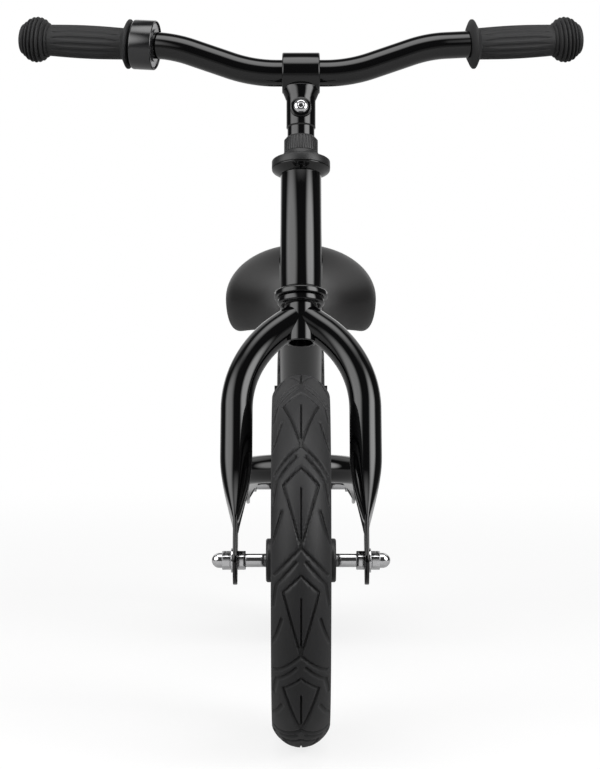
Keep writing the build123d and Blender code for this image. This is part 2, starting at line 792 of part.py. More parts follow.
def spoke(rim_well):
    """Broad spoke along +Z, with a moulded pocket in each face."""
    root = hub_radius - bearing_shoulder
    reach = rim_well + rim_wall / 2
    blade = make_face(Polyline(
        [(-spoke_root_width / 2, root), (spoke_root_width / 2, root),
         (spoke_tip_width / 2, reach), (-spoke_tip_width / 2, reach)], close=True))
    pocket_foot = hub_radius + 2 * spoke_pocket_edge
    pocket_head = rim_well - spoke_pocket_edge
    pocket = make_face(Polyline(
        [(-spoke_root_width / 2 + spoke_pocket_edge, pocket_foot),
         (spoke_root_width / 2 - spoke_pocket_edge, pocket_foot),
         (spoke_tip_width / 2 - spoke_pocket_edge, pocket_head),
         (-spoke_tip_width / 2 + spoke_pocket_edge, pocket_head)], close=True))
    body = extrude(Plane.YZ * blade, spoke_thickness / 2, both=True)
    floor = spoke_thickness / 2 - spoke_pocket_depth
    hollow = extrude(Plane.YZ.offset(floor) * pocket, spoke_pocket_depth)
    return body - both_sides(hollow)


def tyre_ring(worn):
    """Foam ring with a smooth crown, its tread worn down by a given depth."""
    half = tyre_width / 2
    crest = wheel_radius - worn
    shoulder = crest - tyre_crown_height
    foot = rim_flange_radius + seat_clearance
    channel = rim_flange_radius - rim_channel_depth + seat_clearance
    tongue = rim_width / 2 - rim_flange_thickness - seat_clearance
    crown = ThreePointArc(
        (half, shoulder), (half * tyre_crown_share, shoulder + tyre_crown_height * tyre_crown_fullness),
        (tyre_ridge_half, crest))
    sides = Polyline([
        (-half, shoulder), (-half, foot + tyre_edge_round), (-half + tyre_edge_round, foot),
        (-tongue, foot), (-tongue, channel), (tongue, channel), (tongue, foot),
        (half - tyre_edge_round, foot), (half, foot + tyre_edge_round), (half, shoulder),
    ])
    ridge = Line((tyre_ridge_half, crest), (-tyre_ridge_half, crest))
    section = crown + ridge + mirror(crown, about=Plane.YZ) + sides
    return revolve(make_face(section), Axis.X)


def tread_grooves():
    """One repeat of the tread at the top of the wheel: an outlined kite, a chevron and shoulder hooks."""
    pitch = 2 * math.pi * wheel_radius / tread_repeats

    def tread_point(across, run):
        return (across, wheel_radius * math.sin((pitch / 2 - run) / wheel_radius))

    kite = Polyline([
        tread_point(0, 0), tread_point(kite_half_width, kite_head), tread_point(0, kite_length)])
    chevron = Line(tread_point(0, kite_length), tread_point(tread_half_width, pitch))
    hook = Polyline([
        tread_point(hook_root_half, -hook_lead), tread_point(hook_turn_half, hook_turn),
        tread_point(hook_end_half, hook_length)])
    lines = Sketch() + [trace(line, tread_groove_width) for line in (kite, chevron, hook)]
    lines += mirror(lines, about=Plane.YZ)
    bottom = (rim_flange_radius + wheel_radius - tyre_crown_height) / 2
    cutter = extrude(Plane.XY.offset(bottom) * lines, wheel_radius + tread_groove_depth - bottom)
    return cutter - tyre_ring(tread_groove_depth)


def tyre():
    grooves = tread_grooves()
    turns = [tread_phase + 360 * index / tread_repeats for index in range(tread_repeats)]
    return tyre_ring(0) - [Rot(turn, 0, 0) * grooves for turn in turns]


def hub_cap():
    hole = spacer_radius + hub_cap_hole_clearance
    lip = hub_radius + seat_clearance
    face = hub_half_length + hub_cap_thickness
    return turned_on_x([
        (hub_half_length, hole), (face, hole), (face, hub_cap_radius - hub_cap_chamfer),
        (face - hub_cap_chamfer, hub_cap_radius), (hub_half_length - hub_cap_lip, hub_cap_radius),
        (hub_half_length - hub_cap_lip, lip), (hub_half_length, lip),
    ])


def acorn_nut(start):
    """Domed nut along +X with a blind thread bore."""
    hex_end = start + acorn_hex_thickness
    tip = start + acorn_length
    dome_start = tip - acorn_dome_radius
    dome = make_face(
        Polyline([(hex_end, 0), (hex_end, acorn_dome_radius), (dome_start, acorn_dome_radius)])
        + RadiusArc((dome_start, acorn_dome_radius), (tip, 0), acorn_dome_radius)
        + Line((tip, 0), (hex_end, 0))
    )
    nut = hex_on_x(hex_across_flats, start, hex_end) + revolve(dome, Axis.X)
    return nut - rod_on_x(axle_radius + seat_clearance, start, start + acorn_bore_depth)


def make_wheel(name, centre):
    place = Pos(centre.X, centre.Y, centre.Z)
    on_axle = axle_radius + seat_clearance
    race_inner = hub_half_length - bearing_width
    locknut_start = dropout_inner - locknut_thickness
    acorn_start = dropout_outer + washer_thickness
    axle_end = acorn_start + acorn_bore_depth - axle_end_gap
    inner_race_radius = bearing_split_radius - running_clearance
    pieces = {
        "rim": wheel_rim(),
        "tyre": tyre(),
        "hub_caps": both_sides(hub_cap()),
        "bearing_outer_races": both_sides(
            tube_on_x(bearing_outer_radius, bearing_split_radius, race_inner, hub_half_length)),
        "bearing_inner_races": both_sides(
            tube_on_x(inner_race_radius, on_axle, race_inner, hub_half_length)),
        "hub_sleeve": tube_on_x(spacer_radius, on_axle, -race_inner, race_inner),
        "axle": rod_on_x(axle_radius, -axle_end, axle_end),
        "axle_spacers": both_sides(tube_on_x(spacer_radius, on_axle, hub_half_length, locknut_start)),
        "axle_locknuts": both_sides(
            hex_on_x(hex_across_flats, locknut_start, dropout_inner)
            - rod_on_x(on_axle, locknut_start, dropout_inner)),
        "axle_washers": both_sides(tube_on_x(washer_radius, on_axle, dropout_outer, acorn_start)),
        "acorn_nuts": both_sides(acorn_nut(acorn_start)),
    }
    for piece, shape in pieces.items():
        nodes[f"{name}_{piece}"] = place * shape


make_frame()
make_headset()
make_fork()
make_stem()
make_handlebar()
make_grips()
make_bell()
make_seat_clamp()
make_saddle()
make_wheel("front", front_axle)
make_wheel("rear", rear_axle)

os.makedirs("parts", exist_ok=True)
for node_name, node_shape in nodes.items():
    export_step(node_shape, f"parts/{node_name}.step")
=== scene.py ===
import json
import math

import bmesh
import bpy
from mathutils import Matrix, Vector


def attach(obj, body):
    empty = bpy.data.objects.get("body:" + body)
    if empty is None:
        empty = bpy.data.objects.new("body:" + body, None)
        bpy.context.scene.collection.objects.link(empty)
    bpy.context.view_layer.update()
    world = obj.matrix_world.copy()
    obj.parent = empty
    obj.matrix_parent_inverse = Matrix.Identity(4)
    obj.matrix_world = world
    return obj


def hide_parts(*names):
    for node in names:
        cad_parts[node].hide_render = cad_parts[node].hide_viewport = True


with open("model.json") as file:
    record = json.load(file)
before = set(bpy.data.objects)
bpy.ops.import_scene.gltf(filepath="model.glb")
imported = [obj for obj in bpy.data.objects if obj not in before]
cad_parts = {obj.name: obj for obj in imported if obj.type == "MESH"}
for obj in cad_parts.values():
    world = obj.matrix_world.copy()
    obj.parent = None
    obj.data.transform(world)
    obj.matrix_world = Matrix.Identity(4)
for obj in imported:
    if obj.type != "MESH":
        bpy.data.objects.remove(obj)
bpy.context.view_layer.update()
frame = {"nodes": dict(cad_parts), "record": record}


# Head tube: the short steel tube that carries the headset, gloss black, welded to the main tube behind it.
# It leans back by the rake angle, so it gives the steering frame that the fork and bar use.
# Lengths are millimetres up to the studio, whose own are metres; show() scales each finished mesh.

joints = {joint["name"]: joint for joint in frame["record"]["behaviour"]["joints"]}
METRES = 0.001
ROUND_STEPS = 64

steering_up = Vector(joints["steering"]["axis"])
steering_back = Vector((0, steering_up.z, -steering_up.y))
front_axle = Vector(joints["front_wheel_spin"]["pos_m"]) / METRES
rear_axle = Vector(joints["rear_wheel_spin"]["pos_m"]) / METRES
fork_offset = 24.0
steering_foot = front_axle + steering_back * fork_offset


def basis(origin, back, up):
    """Matrix that takes local X, Y and Z to the bike's X and the given two directions."""
    turn = Matrix((Vector((1, 0, 0)), back, up)).transposed().to_4x4()
    return Matrix.Translation(origin) @ turn


steering = basis(steering_foot, steering_back, steering_up)


def noise_mask_group():
    """Node group: soft blotches and fine specks over Object coordinates, for wear, dust and grain."""
    blotch_detail = 4.0
    speck_detail = 2.0
    group = bpy.data.node_groups.new("surface_marks", "ShaderNodeTree")
    for name in ("Blotch Scale", "Speck Scale"):
        group.interface.new_socket(name, in_out="INPUT", socket_type="NodeSocketFloat")
    for name in ("Blotch", "Speck"):
        group.interface.new_socket(name, in_out="OUTPUT", socket_type="NodeSocketFloat")
    nodes = group.nodes
    inputs = nodes.new("NodeGroupInput")
    outputs = nodes.new("NodeGroupOutput")
    place = nodes.new("ShaderNodeTexCoord")
    for index, detail in enumerate((blotch_detail, speck_detail)):
        noise = nodes.new("ShaderNodeTexNoise")
        noise.inputs["Detail"].default_value = detail
        group.links.new(place.outputs["Object"], noise.inputs["Vector"])
        group.links.new(inputs.outputs[index], noise.inputs["Scale"])
        group.links.new(noise.outputs["Fac"], outputs.inputs[index])
    return group


surface_marks = noise_mask_group()


def ranged(nodes, source, low, high, start=0.0, end=1.0, kind="LINEAR"):
    """Output of a Map Range node that takes a socket from one range to another."""
    node = nodes.new("ShaderNodeMapRange")
    node.interpolation_type = kind
    for name, value in (("From Min", low), ("From Max", high), ("To Min", start), ("To Max", end)):
        node.inputs[name].default_value = value
    nodes.id_data.links.new(source, node.inputs["Value"])
    return node.outputs["Result"]


def finish_material(name, colour, dark, roughness, spread, bump, speck_scale, blotch_scale, **plain):
    """Procedural finish: a colour that varies in blotches, a roughness that varies, and fine bump."""
    material = bpy.data.materials.new(name)
    material.use_nodes = True
    nodes = material.node_tree.nodes
    links = material.node_tree.links
    shader = nodes["Principled BSDF"]
    marks = nodes.new("ShaderNodeGroup")
    marks.node_tree = surface_marks
    marks.inputs["Blotch Scale"].default_value = blotch_scale
    marks.inputs["Speck Scale"].default_value = speck_scale
    tint = nodes.new("ShaderNodeMix")
    tint.data_type = "RGBA"
    tint.inputs["A"].default_value = (*dark, 1)
    tint.inputs["B"].default_value = (*colour, 1)
    links.new(marks.outputs["Blotch"], tint.inputs["Factor"])
    links.new(tint.outputs["Result"], shader.inputs["Base Color"])
    gloss = ranged(nodes, marks.outputs["Blotch"], 0.0, 1.0, roughness - spread, roughness + spread)
    links.new(gloss, shader.inputs["Roughness"])
    relief = nodes.new("ShaderNodeBump")
    relief.inputs["Strength"].default_value = 1.0
    relief.inputs["Distance"].default_value = bump * METRES
    links.new(marks.outputs["Speck"], relief.inputs["Height"])
    links.new(relief.outputs["Normal"], shader.inputs["Normal"])
    for socket, value in plain.items():
        shader.inputs[socket.replace("_", " ")].default_value = value
    return material


gloss_paint = finish_material(
    "gloss_black_paint", colour=(0.002, 0.002, 0.0022), dark=(0.0013, 0.0013, 0.0015), roughness=0.10,
    spread=0.03, bump=0.004, speck_scale=350.0, blotch_scale=25.0,
    Coat_Weight=1.0, Coat_Roughness=0.04, Specular_IOR_Level=0.05)


def show(name, shape, material, body, slot, *nodes):
    """Turn a finished bmesh, in millimetres, into a piece that rides on a body and stands for CAD nodes."""
    same_place = 0.002
    sharp_angle = math.radians(32)
    bmesh.ops.remove_doubles(shape, verts=shape.verts, dist=same_place)
    bmesh.ops.recalc_face_normals(shape, faces=shape.faces)
    bmesh.ops.scale(shape, vec=(METRES, METRES, METRES), verts=shape.verts)
    mesh = bpy.data.meshes.new(name)
    shape.to_mesh(mesh)
    shape.free()
    for face in mesh.polygons:
        face.use_smooth = True
    mesh.set_sharp_from_angle(angle=sharp_angle)
    mesh.materials.append(material)
    piece = bpy.data.objects.new(name, mesh)
    bpy.context.scene.collection.objects.link(piece)
    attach(piece, body)
    if nodes:
        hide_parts(*nodes)
    return piece


def soften(shape, width, least_angle=25.0, segments=3):
    """Round every edge that turns by more than the least angle."""
    edges = [edge for edge in shape.edges
             if len(edge.link_faces) == 2 and edge.calc_face_angle() > math.radians(least_angle)]
    bmesh.ops.bevel(shape, geom=edges, offset=width, offset_type="OFFSET", segments=segments, profile=0.5,
                    affect="EDGES", clamp_overlap=True, material=-1)


def lathe(profile, place=None, edge_round=0.0, steps=ROUND_STEPS):
    """Turn a closed profile of (radius, height) about local Z, round its edges and put it in place."""
    same_place = 0.001
    shape = bmesh.new()
    corners = [shape.verts.new((radius, 0, height)) for radius, height in profile]
    edges = [shape.edges.new(pair) for pair in zip(corners, corners[1:] + corners[:1])]
    bmesh.ops.spin(shape, geom=corners + edges, cent=(0, 0, 0), axis=(0, 0, 1), angle=2 * math.pi,
                   steps=steps, use_merge=True, use_duplicate=False)
    bmesh.ops.remove_doubles(shape, verts=shape.verts, dist=same_place)
    bmesh.ops.recalc_face_normals(shape, faces=shape.faces)
    if edge_round:
        soften(shape, edge_round)
    if place is not None:
        bmesh.ops.transform(shape, matrix=place, verts=shape.verts)
    return shape


def tube_profile(bore, radius, bottom, top):
    """Profile of a plain round tube, for lathe."""
    return [(bore, bottom), (radius, bottom), (radius, top), (bore, top)]


head_bottom = 227.5
head_top = 325.5
head_radius = 16.75
head_bore = 15.1
tube_end_round = 0.5
head_tube = lathe(tube_profile(head_bore, head_radius, head_bottom, head_top), steering, tube_end_round)
show("head_tube_painted", head_tube, gloss_paint, "frame", "frame_paint", "head_tube")


# Main tube and seat tube: two straight steel tubes, mitred and welded, painted with the head tube.
# The main tube drops from the head tube to the seat tube, which holds the seat post.

def bar_between(start, end, radius, bore):
    """Straight round tube from one point to another."""
    along = (end - start).normalized()
    across = along.cross(Vector((1, 0, 0))).normalized()
    return lathe(tube_profile(bore, radius, 0, (end - start).length), basis(start, across, along))


seat_up = Vector(joints["seat_height"]["axis"])
seat_back = Vector((0, seat_up.z, -seat_up.y))
tube_radius = 12.7
seat_tube_radius = 14.3
seat_tube_bore = 12.8
seat_tube_above = 80.0
seat_tube_below = 39.0
yoke_length = 183.0
yoke_slope = math.radians(10.8)
yoke_back = Vector((0, math.cos(yoke_slope), -math.sin(yoke_slope)))
yoke_front = rear_axle - yoke_back * yoke_length
weld_bite = 1.2
seat_joint = yoke_front - seat_back * (seat_tube_radius + tube_radius - weld_bite)
seat_axis = basis(seat_joint, seat_back, seat_up)
main_radius = 17.5
main_wall = 1.6
main_above_cup = 27.5
start_bite = 4.0
end_bite = 3.0
head_joint = steering_foot + steering_up * (head_bottom + main_above_cup)
main_dir = (seat_joint - head_joint).normalized()
main_start = head_joint + main_dir * (head_bore - start_bite)
main_end = seat_joint - main_dir * (seat_tube_bore - end_bite)
main_tube = bar_between(main_start, main_end, main_radius, main_radius - main_wall)
head_wall = (head_bore + head_radius) / 2
least_wrap = 3.0
for vert in main_tube.verts:
    if (vert.co - main_start).dot(main_dir) < weld_bite:
        wrap = max(least_wrap, math.sqrt(max(0.0, head_wall ** 2 - vert.co.x ** 2)))
        behind = (vert.co - steering_foot).dot(steering_back)
        vert.co += main_dir * (wrap - behind) / main_dir.dot(steering_back)
show("main_tube_painted", main_tube, gloss_paint, "frame", "frame_paint", "main_tube")
seat_tube = lathe(
    tube_profile(seat_tube_bore, seat_tube_radius, -seat_tube_below, seat_tube_above),
    seat_axis, tube_end_round)
show("seat_tube_painted", seat_tube, gloss_paint, "frame", "frame_paint", "seat_tube")


# Rear yoke: one steel tube bent to a U round the wheel, both ends squeezed flat for the axle.
# It is welded to the back of the seat tube and painted with the frame.

RING_STEPS = 48
dropout_x = 51.0
dropout_half = 1.7
yoke_pinch_length = 52.0
yoke_plate_length = 37.0
eye_radius = 19.0


def rounded_path(corners, radius, steps):
    """Points along straight runs whose corners are arcs of one radius."""
    points = [corners[0]]
    for before, corner, after in zip(corners, corners[1:], corners[2:]):
        into = (corner - before).normalized()
        out = (after - corner).normalized()
        turn = into.angle(out)
        reach = radius * math.tan(turn / 2)
        middle = corner + (out - into).normalized() * radius / math.cos(turn / 2)
        first = corner - into * reach - middle
        axis = into.cross(out).normalized()
        for step in range(steps + 1):
            points.append(middle + Matrix.Rotation(turn * step / steps, 3, axis) @ first)
    points.append(corners[-1])
    return points


def pinch_half(share):
    """Half thickness of the tube as it is squeezed from round to flat."""
    fullness = 1.15
    return dropout_half + (tube_radius - dropout_half) * max(0.0, math.cos(share * math.pi / 2)) ** fullness


def pinched_stations(start, along, pinch_length, plate_length):
    """Stations of a squeezed tube end: point, half thickness and half width, out to the rounded eye."""
    stations = []
    pinch_steps = 14
    eye_steps = 10
    least_width = 1.2 * dropout_half
    for step in range(1, pinch_steps + 1):
        share = step / pinch_steps
        half = pinch_half(share)
        width = half + math.pi * (tube_radius - half) / 2
        stations.append((start + along * share * pinch_length, half, width))
    axle = start + along * (pinch_length + plate_length)
    for step in range(eye_steps + 1):
        angle = math.pi / 2 * step / eye_steps
        width = max(eye_radius * math.cos(angle), least_width)
        stations.append((axle + along * eye_radius * math.sin(angle), dropout_half, width))
    return stations


def skin(shape, ring, previous):
    """Join a ring of verts to the edges of the ring before it, or close it if it is the first."""
    edges = list({edge for vert in ring for edge in vert.link_edges if edge.other_vert(vert) in ring})
    if previous:
        bmesh.ops.bridge_loops(shape, edges=previous + edges)
    else:
        bmesh.ops.edgeloop_fill(shape, edges=edges)
    return edges


def squeezed_tube(stations, first_side):
    """Skin a run of flattened rings; each ring is thin along the side direction."""
    on_axis = 1e-6
    shape = bmesh.new()
    previous = None
    side = first_side.normalized()
    points = [station[0] for station in stations]
    for index, (point, half, width) in enumerate(stations):
        ahead = points[min(index + 1, len(points) - 1)] - points[max(index - 1, 0)]
        along = ahead.normalized()
        side = (side - along * side.dot(along)).normalized()
        flat = along.cross(side)
        ring = bmesh.ops.create_circle(shape, segments=RING_STEPS, radius=half)["verts"]
        for vert in ring:
            stretch = math.copysign(width - half, vert.co.y) if abs(vert.co.y) > on_axis else 0.0
            vert.co = point + side * vert.co.x + flat * (vert.co.y + stretch)
        previous = skin(shape, ring, previous)
    bmesh.ops.edgeloop_fill(shape, edges=previous)
    bmesh.ops.recalc_face_normals(shape, faces=shape.faces)
    return shape


def round_run(points, radius):
    """Stations of a tube that stays round."""
    return [(point, radius, radius) for point in points]


yoke_bend = 50.5
yoke_pinch = yoke_front + yoke_back * (yoke_length - yoke_pinch_length - yoke_plate_length)
side_x = Vector((dropout_x, 0, 0))
yoke_corners = [yoke_pinch - side_x, yoke_front - side_x, yoke_front + side_x, yoke_pinch + side_x]
yoke_right = pinched_stations(yoke_pinch + side_x, yoke_back, yoke_pinch_length, yoke_plate_length)
yoke_left = pinched_stations(yoke_pinch - side_x, yoke_back, yoke_pinch_length, yoke_plate_length)
yoke_middle = round_run(rounded_path(yoke_corners, yoke_bend, steps=20), tube_radius)
rear_yoke = squeezed_tube(yoke_left[::-1] + yoke_middle + yoke_right, Vector((1, 0, 0)))
show("rear_yoke_painted", rear_yoke, gloss_paint, "frame", "frame_paint", "rear_yoke")


# Fork: a steerer tube with two bent legs welded to its lower end, squeezed flat for the front axle.
# The steerer's open lower end shows between the legs.

steerer_bottom = 183.0
steerer_radius = 12.7
steerer_top = 355.0
steerer_bore = 11.2
butt_bore = 10.0
butt_top = 228.0
fork_splay = math.radians(54)
fork_bend = 85.0
steerer = lathe(
    [(butt_bore, steerer_bottom), (steerer_radius, steerer_bottom), (steerer_radius, steerer_top),
     (steerer_bore, steerer_top), (steerer_bore, butt_top), (butt_bore, butt_top)], steering, tube_end_round)
show("steerer_tube_painted", steerer, gloss_paint, "fork", "frame_paint", "steerer_tube")

crown_station = 206.0
crown = steering_foot + steering_up * crown_station
leg_dir = (front_axle - crown).normalized()
leg_length = (front_axle - crown).length
leg_pinch_length = 58.0
leg_plate_length = 28.0
leg_start = 4.0
leg_pinch = crown + leg_dir * (leg_length - leg_pinch_length - leg_plate_length)
for side, leg_name in ((1, "left"), (-1, "right")):
    lateral = Vector((side * dropout_x, 0, 0))
    elbow = crown + lateral + leg_dir * dropout_x / math.tan(fork_splay)
    corners = [crown + (elbow - crown).normalized() * leg_start, elbow, leg_pinch + lateral]
    bent_run = round_run(rounded_path(corners, fork_bend, steps=24), tube_radius)
    flat_end = pinched_stations(leg_pinch + lateral, leg_dir, leg_pinch_length, leg_plate_length)
    leg = squeezed_tube(bent_run + flat_end, Vector((1, 0, 0)))
    show(f"fork_leg_{leg_name}_painted", leg, gloss_paint, "fork", "frame_paint", f"fork_leg_{leg_name}")


# Headset: a race on the fork, two bushes pressed in the head tube, and a screwed cap with a dished cone.
# Race and bushes are gloss black, the cap and the lock collar above it are satin black plastic.

satin_plastic = finish_material(
    "satin_black_plastic", colour=(0.016, 0.016, 0.0165), dark=(0.010, 0.010, 0.0105), roughness=0.42,
    spread=0.06, bump=0.02, speck_scale=600.0, blotch_scale=60.0,
    Specular_IOR_Level=0.45)
tight_bore = 12.75
race_bottom = 214.5
race_top = 220.2
race_foot_radius = 17.6
race_radius = 18.8
race_chamfer = 1.2
crown_race = lathe(
    [(tight_bore, race_bottom), (race_foot_radius, race_bottom), (race_radius, race_bottom + race_chamfer),
     (race_radius, race_top), (tight_bore, race_top)], steering, edge_round=0.4)
show("crown_race_ring", crown_race, gloss_paint, "fork", "frame_paint", "crown_race")
cup_bottom = 220.5
cup_bore = 12.78
lower_cup_radius = 21.4
lower_cup_rim = 4.5
spigot_radius = 15.05
spigot_length = 12.0
lower_cup = lathe(
    [(cup_bore, cup_bottom), (lower_cup_radius, cup_bottom), (lower_cup_radius, cup_bottom + lower_cup_rim),
     (head_radius, head_bottom), (spigot_radius, head_bottom), (spigot_radius, head_bottom + spigot_length),
     (cup_bore, head_bottom + spigot_length)], steering, edge_round=0.7)
show("lower_headset_bush", lower_cup, gloss_paint, "frame", "headset_plastic", "lower_headset_cup")
cup_radius = 23.8
cup_lip = 329.6
cup_lip_draw = 0.4
upper_cup_top = 330.7
upper_cup = lathe(
    [(cup_bore, head_top - spigot_length), (spigot_radius, head_top - spigot_length),
     (spigot_radius, head_top), (head_radius, head_top), (cup_radius - cup_lip_draw, cup_lip),
     (cup_radius, upper_cup_top), (cup_bore, upper_cup_top)], steering, edge_round=0.3)
show("upper_headset_bush", upper_cup, gloss_paint, "frame", "headset_plastic", "upper_headset_cup")
cap_bottom = 331.0
cap_rim_top = 337.5
cap_top = 344.5
cap_neck = 14.3
dish_radius = 21.8
dish_steps = 8
dish = []
for step in range(dish_steps + 1):
    angle = math.pi / 2 * step / dish_steps
    dish.append((cap_neck + (dish_radius - cap_neck) * (1 - math.sin(angle)),
                 cap_rim_top + (cap_top - cap_rim_top) * (1 - math.cos(angle))))
cap = lathe(
    [(tight_bore, cap_bottom), (cup_radius, cap_bottom), (cup_radius, cap_rim_top), *dish,
     (tight_bore, cap_top)], steering, edge_round=0.6)
show("headset_cap_moulded", cap, satin_plastic, "fork", "headset_plastic", "headset_cap")


# Lock collar: a ribbed plastic ring screwed on the steerer's top, which pinches the stem's quill.
# Fine upright ribs run round it below a chamfer.

collar_bottom = 344.8
collar_top = 358.0
collar_radius = 13.8
collar_chamfer = 2.6
collar_mouth = 11.7
collar_grip = 11.18
collar_step = 355.3
rib_count = 36
steps_per_rib = 4
rib_share = 0.035
plain_foot = 0.1
skin_depth = 0.01
collar = lathe(
    [(tight_bore, collar_bottom), (collar_radius, collar_bottom),
     (collar_radius, collar_top - collar_chamfer), (collar_mouth, collar_top), (collar_grip, collar_top),
     (collar_grip, collar_step), (tight_bore, collar_step)], steps=rib_count * steps_per_rib)
for vert in collar.verts:
    if vert.co.xy.length > collar_radius - skin_depth and vert.co.z > collar_bottom + plain_foot:
        turn = math.atan2(vert.co.y, vert.co.x)
        vert.co.xy *= 1 - rib_share * max(0.0, math.cos(turn * rib_count))
bmesh.ops.transform(collar, matrix=steering, verts=collar.verts)
show("stem_lock_collar_ribbed", collar, satin_plastic, "fork", "headset_plastic", "stem_lock_collar")


# Stem: quill, clamp lug and bar sleeve cast in one and painted; the quill slides in the steerer.
# The plated button-head bolt sits in the round boss on the front, its nut at the back.

lug_bottom = 367.0
clamp_station = 380.0
bar_station = 415.0
quill_radius = 11.1
quill_bore = 9.2
quill_bottom = 238.0
quill_floor = 365.0
lug_radius = 12.0
lug_chamfer = 1.0
neck_bottom = 390.0
neck_curve = [(12.4, 393.0), (13.2, 397.0)]
neck_top = 401.0
neck_radius = 13.4
sleeve_radius = 17.0
sleeve_half = 15.5
boss_radius = 8.5
boss_half = 15.0
quill = lathe(
    [(quill_bore, quill_bottom), (quill_radius, quill_bottom), (quill_radius, lug_bottom - lug_chamfer),
     (lug_radius, lug_bottom), (lug_radius, neck_bottom), *neck_curve, (neck_radius, neck_top),
     (0.0, neck_top), (0.0, quill_floor), (quill_bore, quill_floor)], edge_round=0.4)
for vert in quill.verts:
    rise = max(0.0, min(1.0, (vert.co.z - neck_bottom) / (neck_top - neck_bottom)))
    vert.co.x *= 1 + rise * (sleeve_half / neck_radius - 1)
turn_to_x = Matrix.Rotation(math.pi / 2, 4, "Y")
turn_to_front = Matrix.Rotation(math.pi / 2, 4, "X")
bar_bore = 11.15
sleeve = lathe(
    tube_profile(bar_bore, sleeve_radius, -sleeve_half, sleeve_half),
    Matrix.Translation((0, 0, bar_station)) @ turn_to_x, edge_round=1.2)
through_clamp = Matrix.Translation((0, 0, clamp_station)) @ turn_to_front
boss = lathe(tube_profile(0.0, boss_radius, -boss_half, boss_half), through_clamp, edge_round=0.8)


def joined(*shapes):
    """One bmesh that holds several closed shapes."""
    whole = shapes[0]
    for shape in shapes[1:]:
        mesh = bpy.data.meshes.new("part_of_piece")
        shape.to_mesh(mesh)
        whole.from_mesh(mesh)
        bpy.data.meshes.remove(mesh)
        shape.free()
    return whole


stem = joined(quill, sleeve, boss)
bmesh.ops.transform(stem, matrix=steering, verts=stem.verts)
show("stem_cast", stem, gloss_paint, "handlebar", "frame_paint", "stem")

bright_plating = finish_material(
    "bright_plating", colour=(0.78, 0.78, 0.79), dark=(0.66, 0.66, 0.67), roughness=0.10,
    spread=0.04, bump=0.004, speck_scale=800.0, blotch_scale=70.0, Metallic=1.0)
bolt_tip = -boss_half - 4.0
shank_radius = 3.0
button_curve = [(6.0, 0.0), (6.0, 1.4), (5.2, 3.0), (3.6, 4.0)]
button_height = 4.0
socket_radius = 2.3
socket_floor = 1.6
button = [(radius, boss_half + height) for radius, height in button_curve]
bolt = lathe(
    [(0.0, bolt_tip), (shank_radius, bolt_tip), (shank_radius, boss_half), *button,
     (socket_radius, boss_half + button_height), (socket_radius, boss_half + socket_floor),
     (0.0, boss_half + socket_floor)], steering @ through_clamp, edge_round=0.35, steps=48)
show("stem_bolt_plated", bolt, bright_plating, "handlebar", "bright_plating", "stem_clamp_bolt")


def hex_prism(across_flats, bore, start, end, place, chamfer):
    """Six-sided nut along local Z with a bore and softened edges."""
    shape = bmesh.new()
    bmesh.ops.create_circle(shape, segments=6, radius=across_flats / 2 / math.cos(math.pi / 6))
    bmesh.ops.create_circle(shape, segments=48, radius=bore)
    bmesh.ops.bridge_loops(shape, edges=shape.edges[:])
    raised = bmesh.ops.extrude_face_region(shape, geom=shape.faces[:])["geom"]
    tops = [item for item in raised if isinstance(item, bmesh.types.BMVert)]
    bmesh.ops.translate(shape, vec=(0, 0, end - start), verts=tops)
    bmesh.ops.recalc_face_normals(shape, faces=shape.faces)
    soften(shape, chamfer, least_angle=40.0, segments=2)
    bmesh.ops.transform(shape, matrix=place @ Matrix.Translation((0, 0, start)), verts=shape.verts)
    return shape


nut_flats = 10.0
nut_bore = 3.05
nut_height = 5.0
nut = hex_prism(
    nut_flats, nut_bore, -boss_half - nut_height, -boss_half, steering @ through_clamp, chamfer=0.4)
show("stem_nut_plated", nut, bright_plating, "handlebar", "bright_plating", "stem_clamp_nut")


# Handlebar: one steel tube bent to a shallow riser with its ends swept back, in gloss black paint.
# The stem's sleeve holds it in the middle, and the grips and the bell sit on its ends.

bar_radius = 11.1
bar_bend = 110.0
bar_inner_corner = 39.5
shoulder_reach = 98.0
shoulder_rise = 23.5
tip_reach = 224.0
tip_sweep = 21.0
tip_rise = 38.8
bar_shoulder = Vector((shoulder_reach, 0, shoulder_rise + bar_station))
bar_tip = Vector((tip_reach, tip_sweep, tip_rise + bar_station))
shoulder_shift = 7.1
grip_along = (bar_tip - bar_shoulder).normalized()
bar_middle = Vector((bar_inner_corner, 0, bar_station))
bar_corners = [bar_middle, bar_shoulder + grip_along * shoulder_shift, bar_tip]
mirrored = [Vector((-corner.x, corner.y, corner.z)) for corner in reversed(bar_corners)]
bar_points = [steering @ point for point in rounded_path(mirrored + bar_corners, bar_bend, steps=16)]
bar = squeezed_tube(round_run(bar_points, bar_radius), steering_up)
show("handlebar_painted", bar, gloss_paint, "handlebar", "frame_paint", "handlebar")


# Grips: moulded black rubber with long pointed flutes, a thin guard flange inboard and a finned ball end.
# They push on the bar's ends.

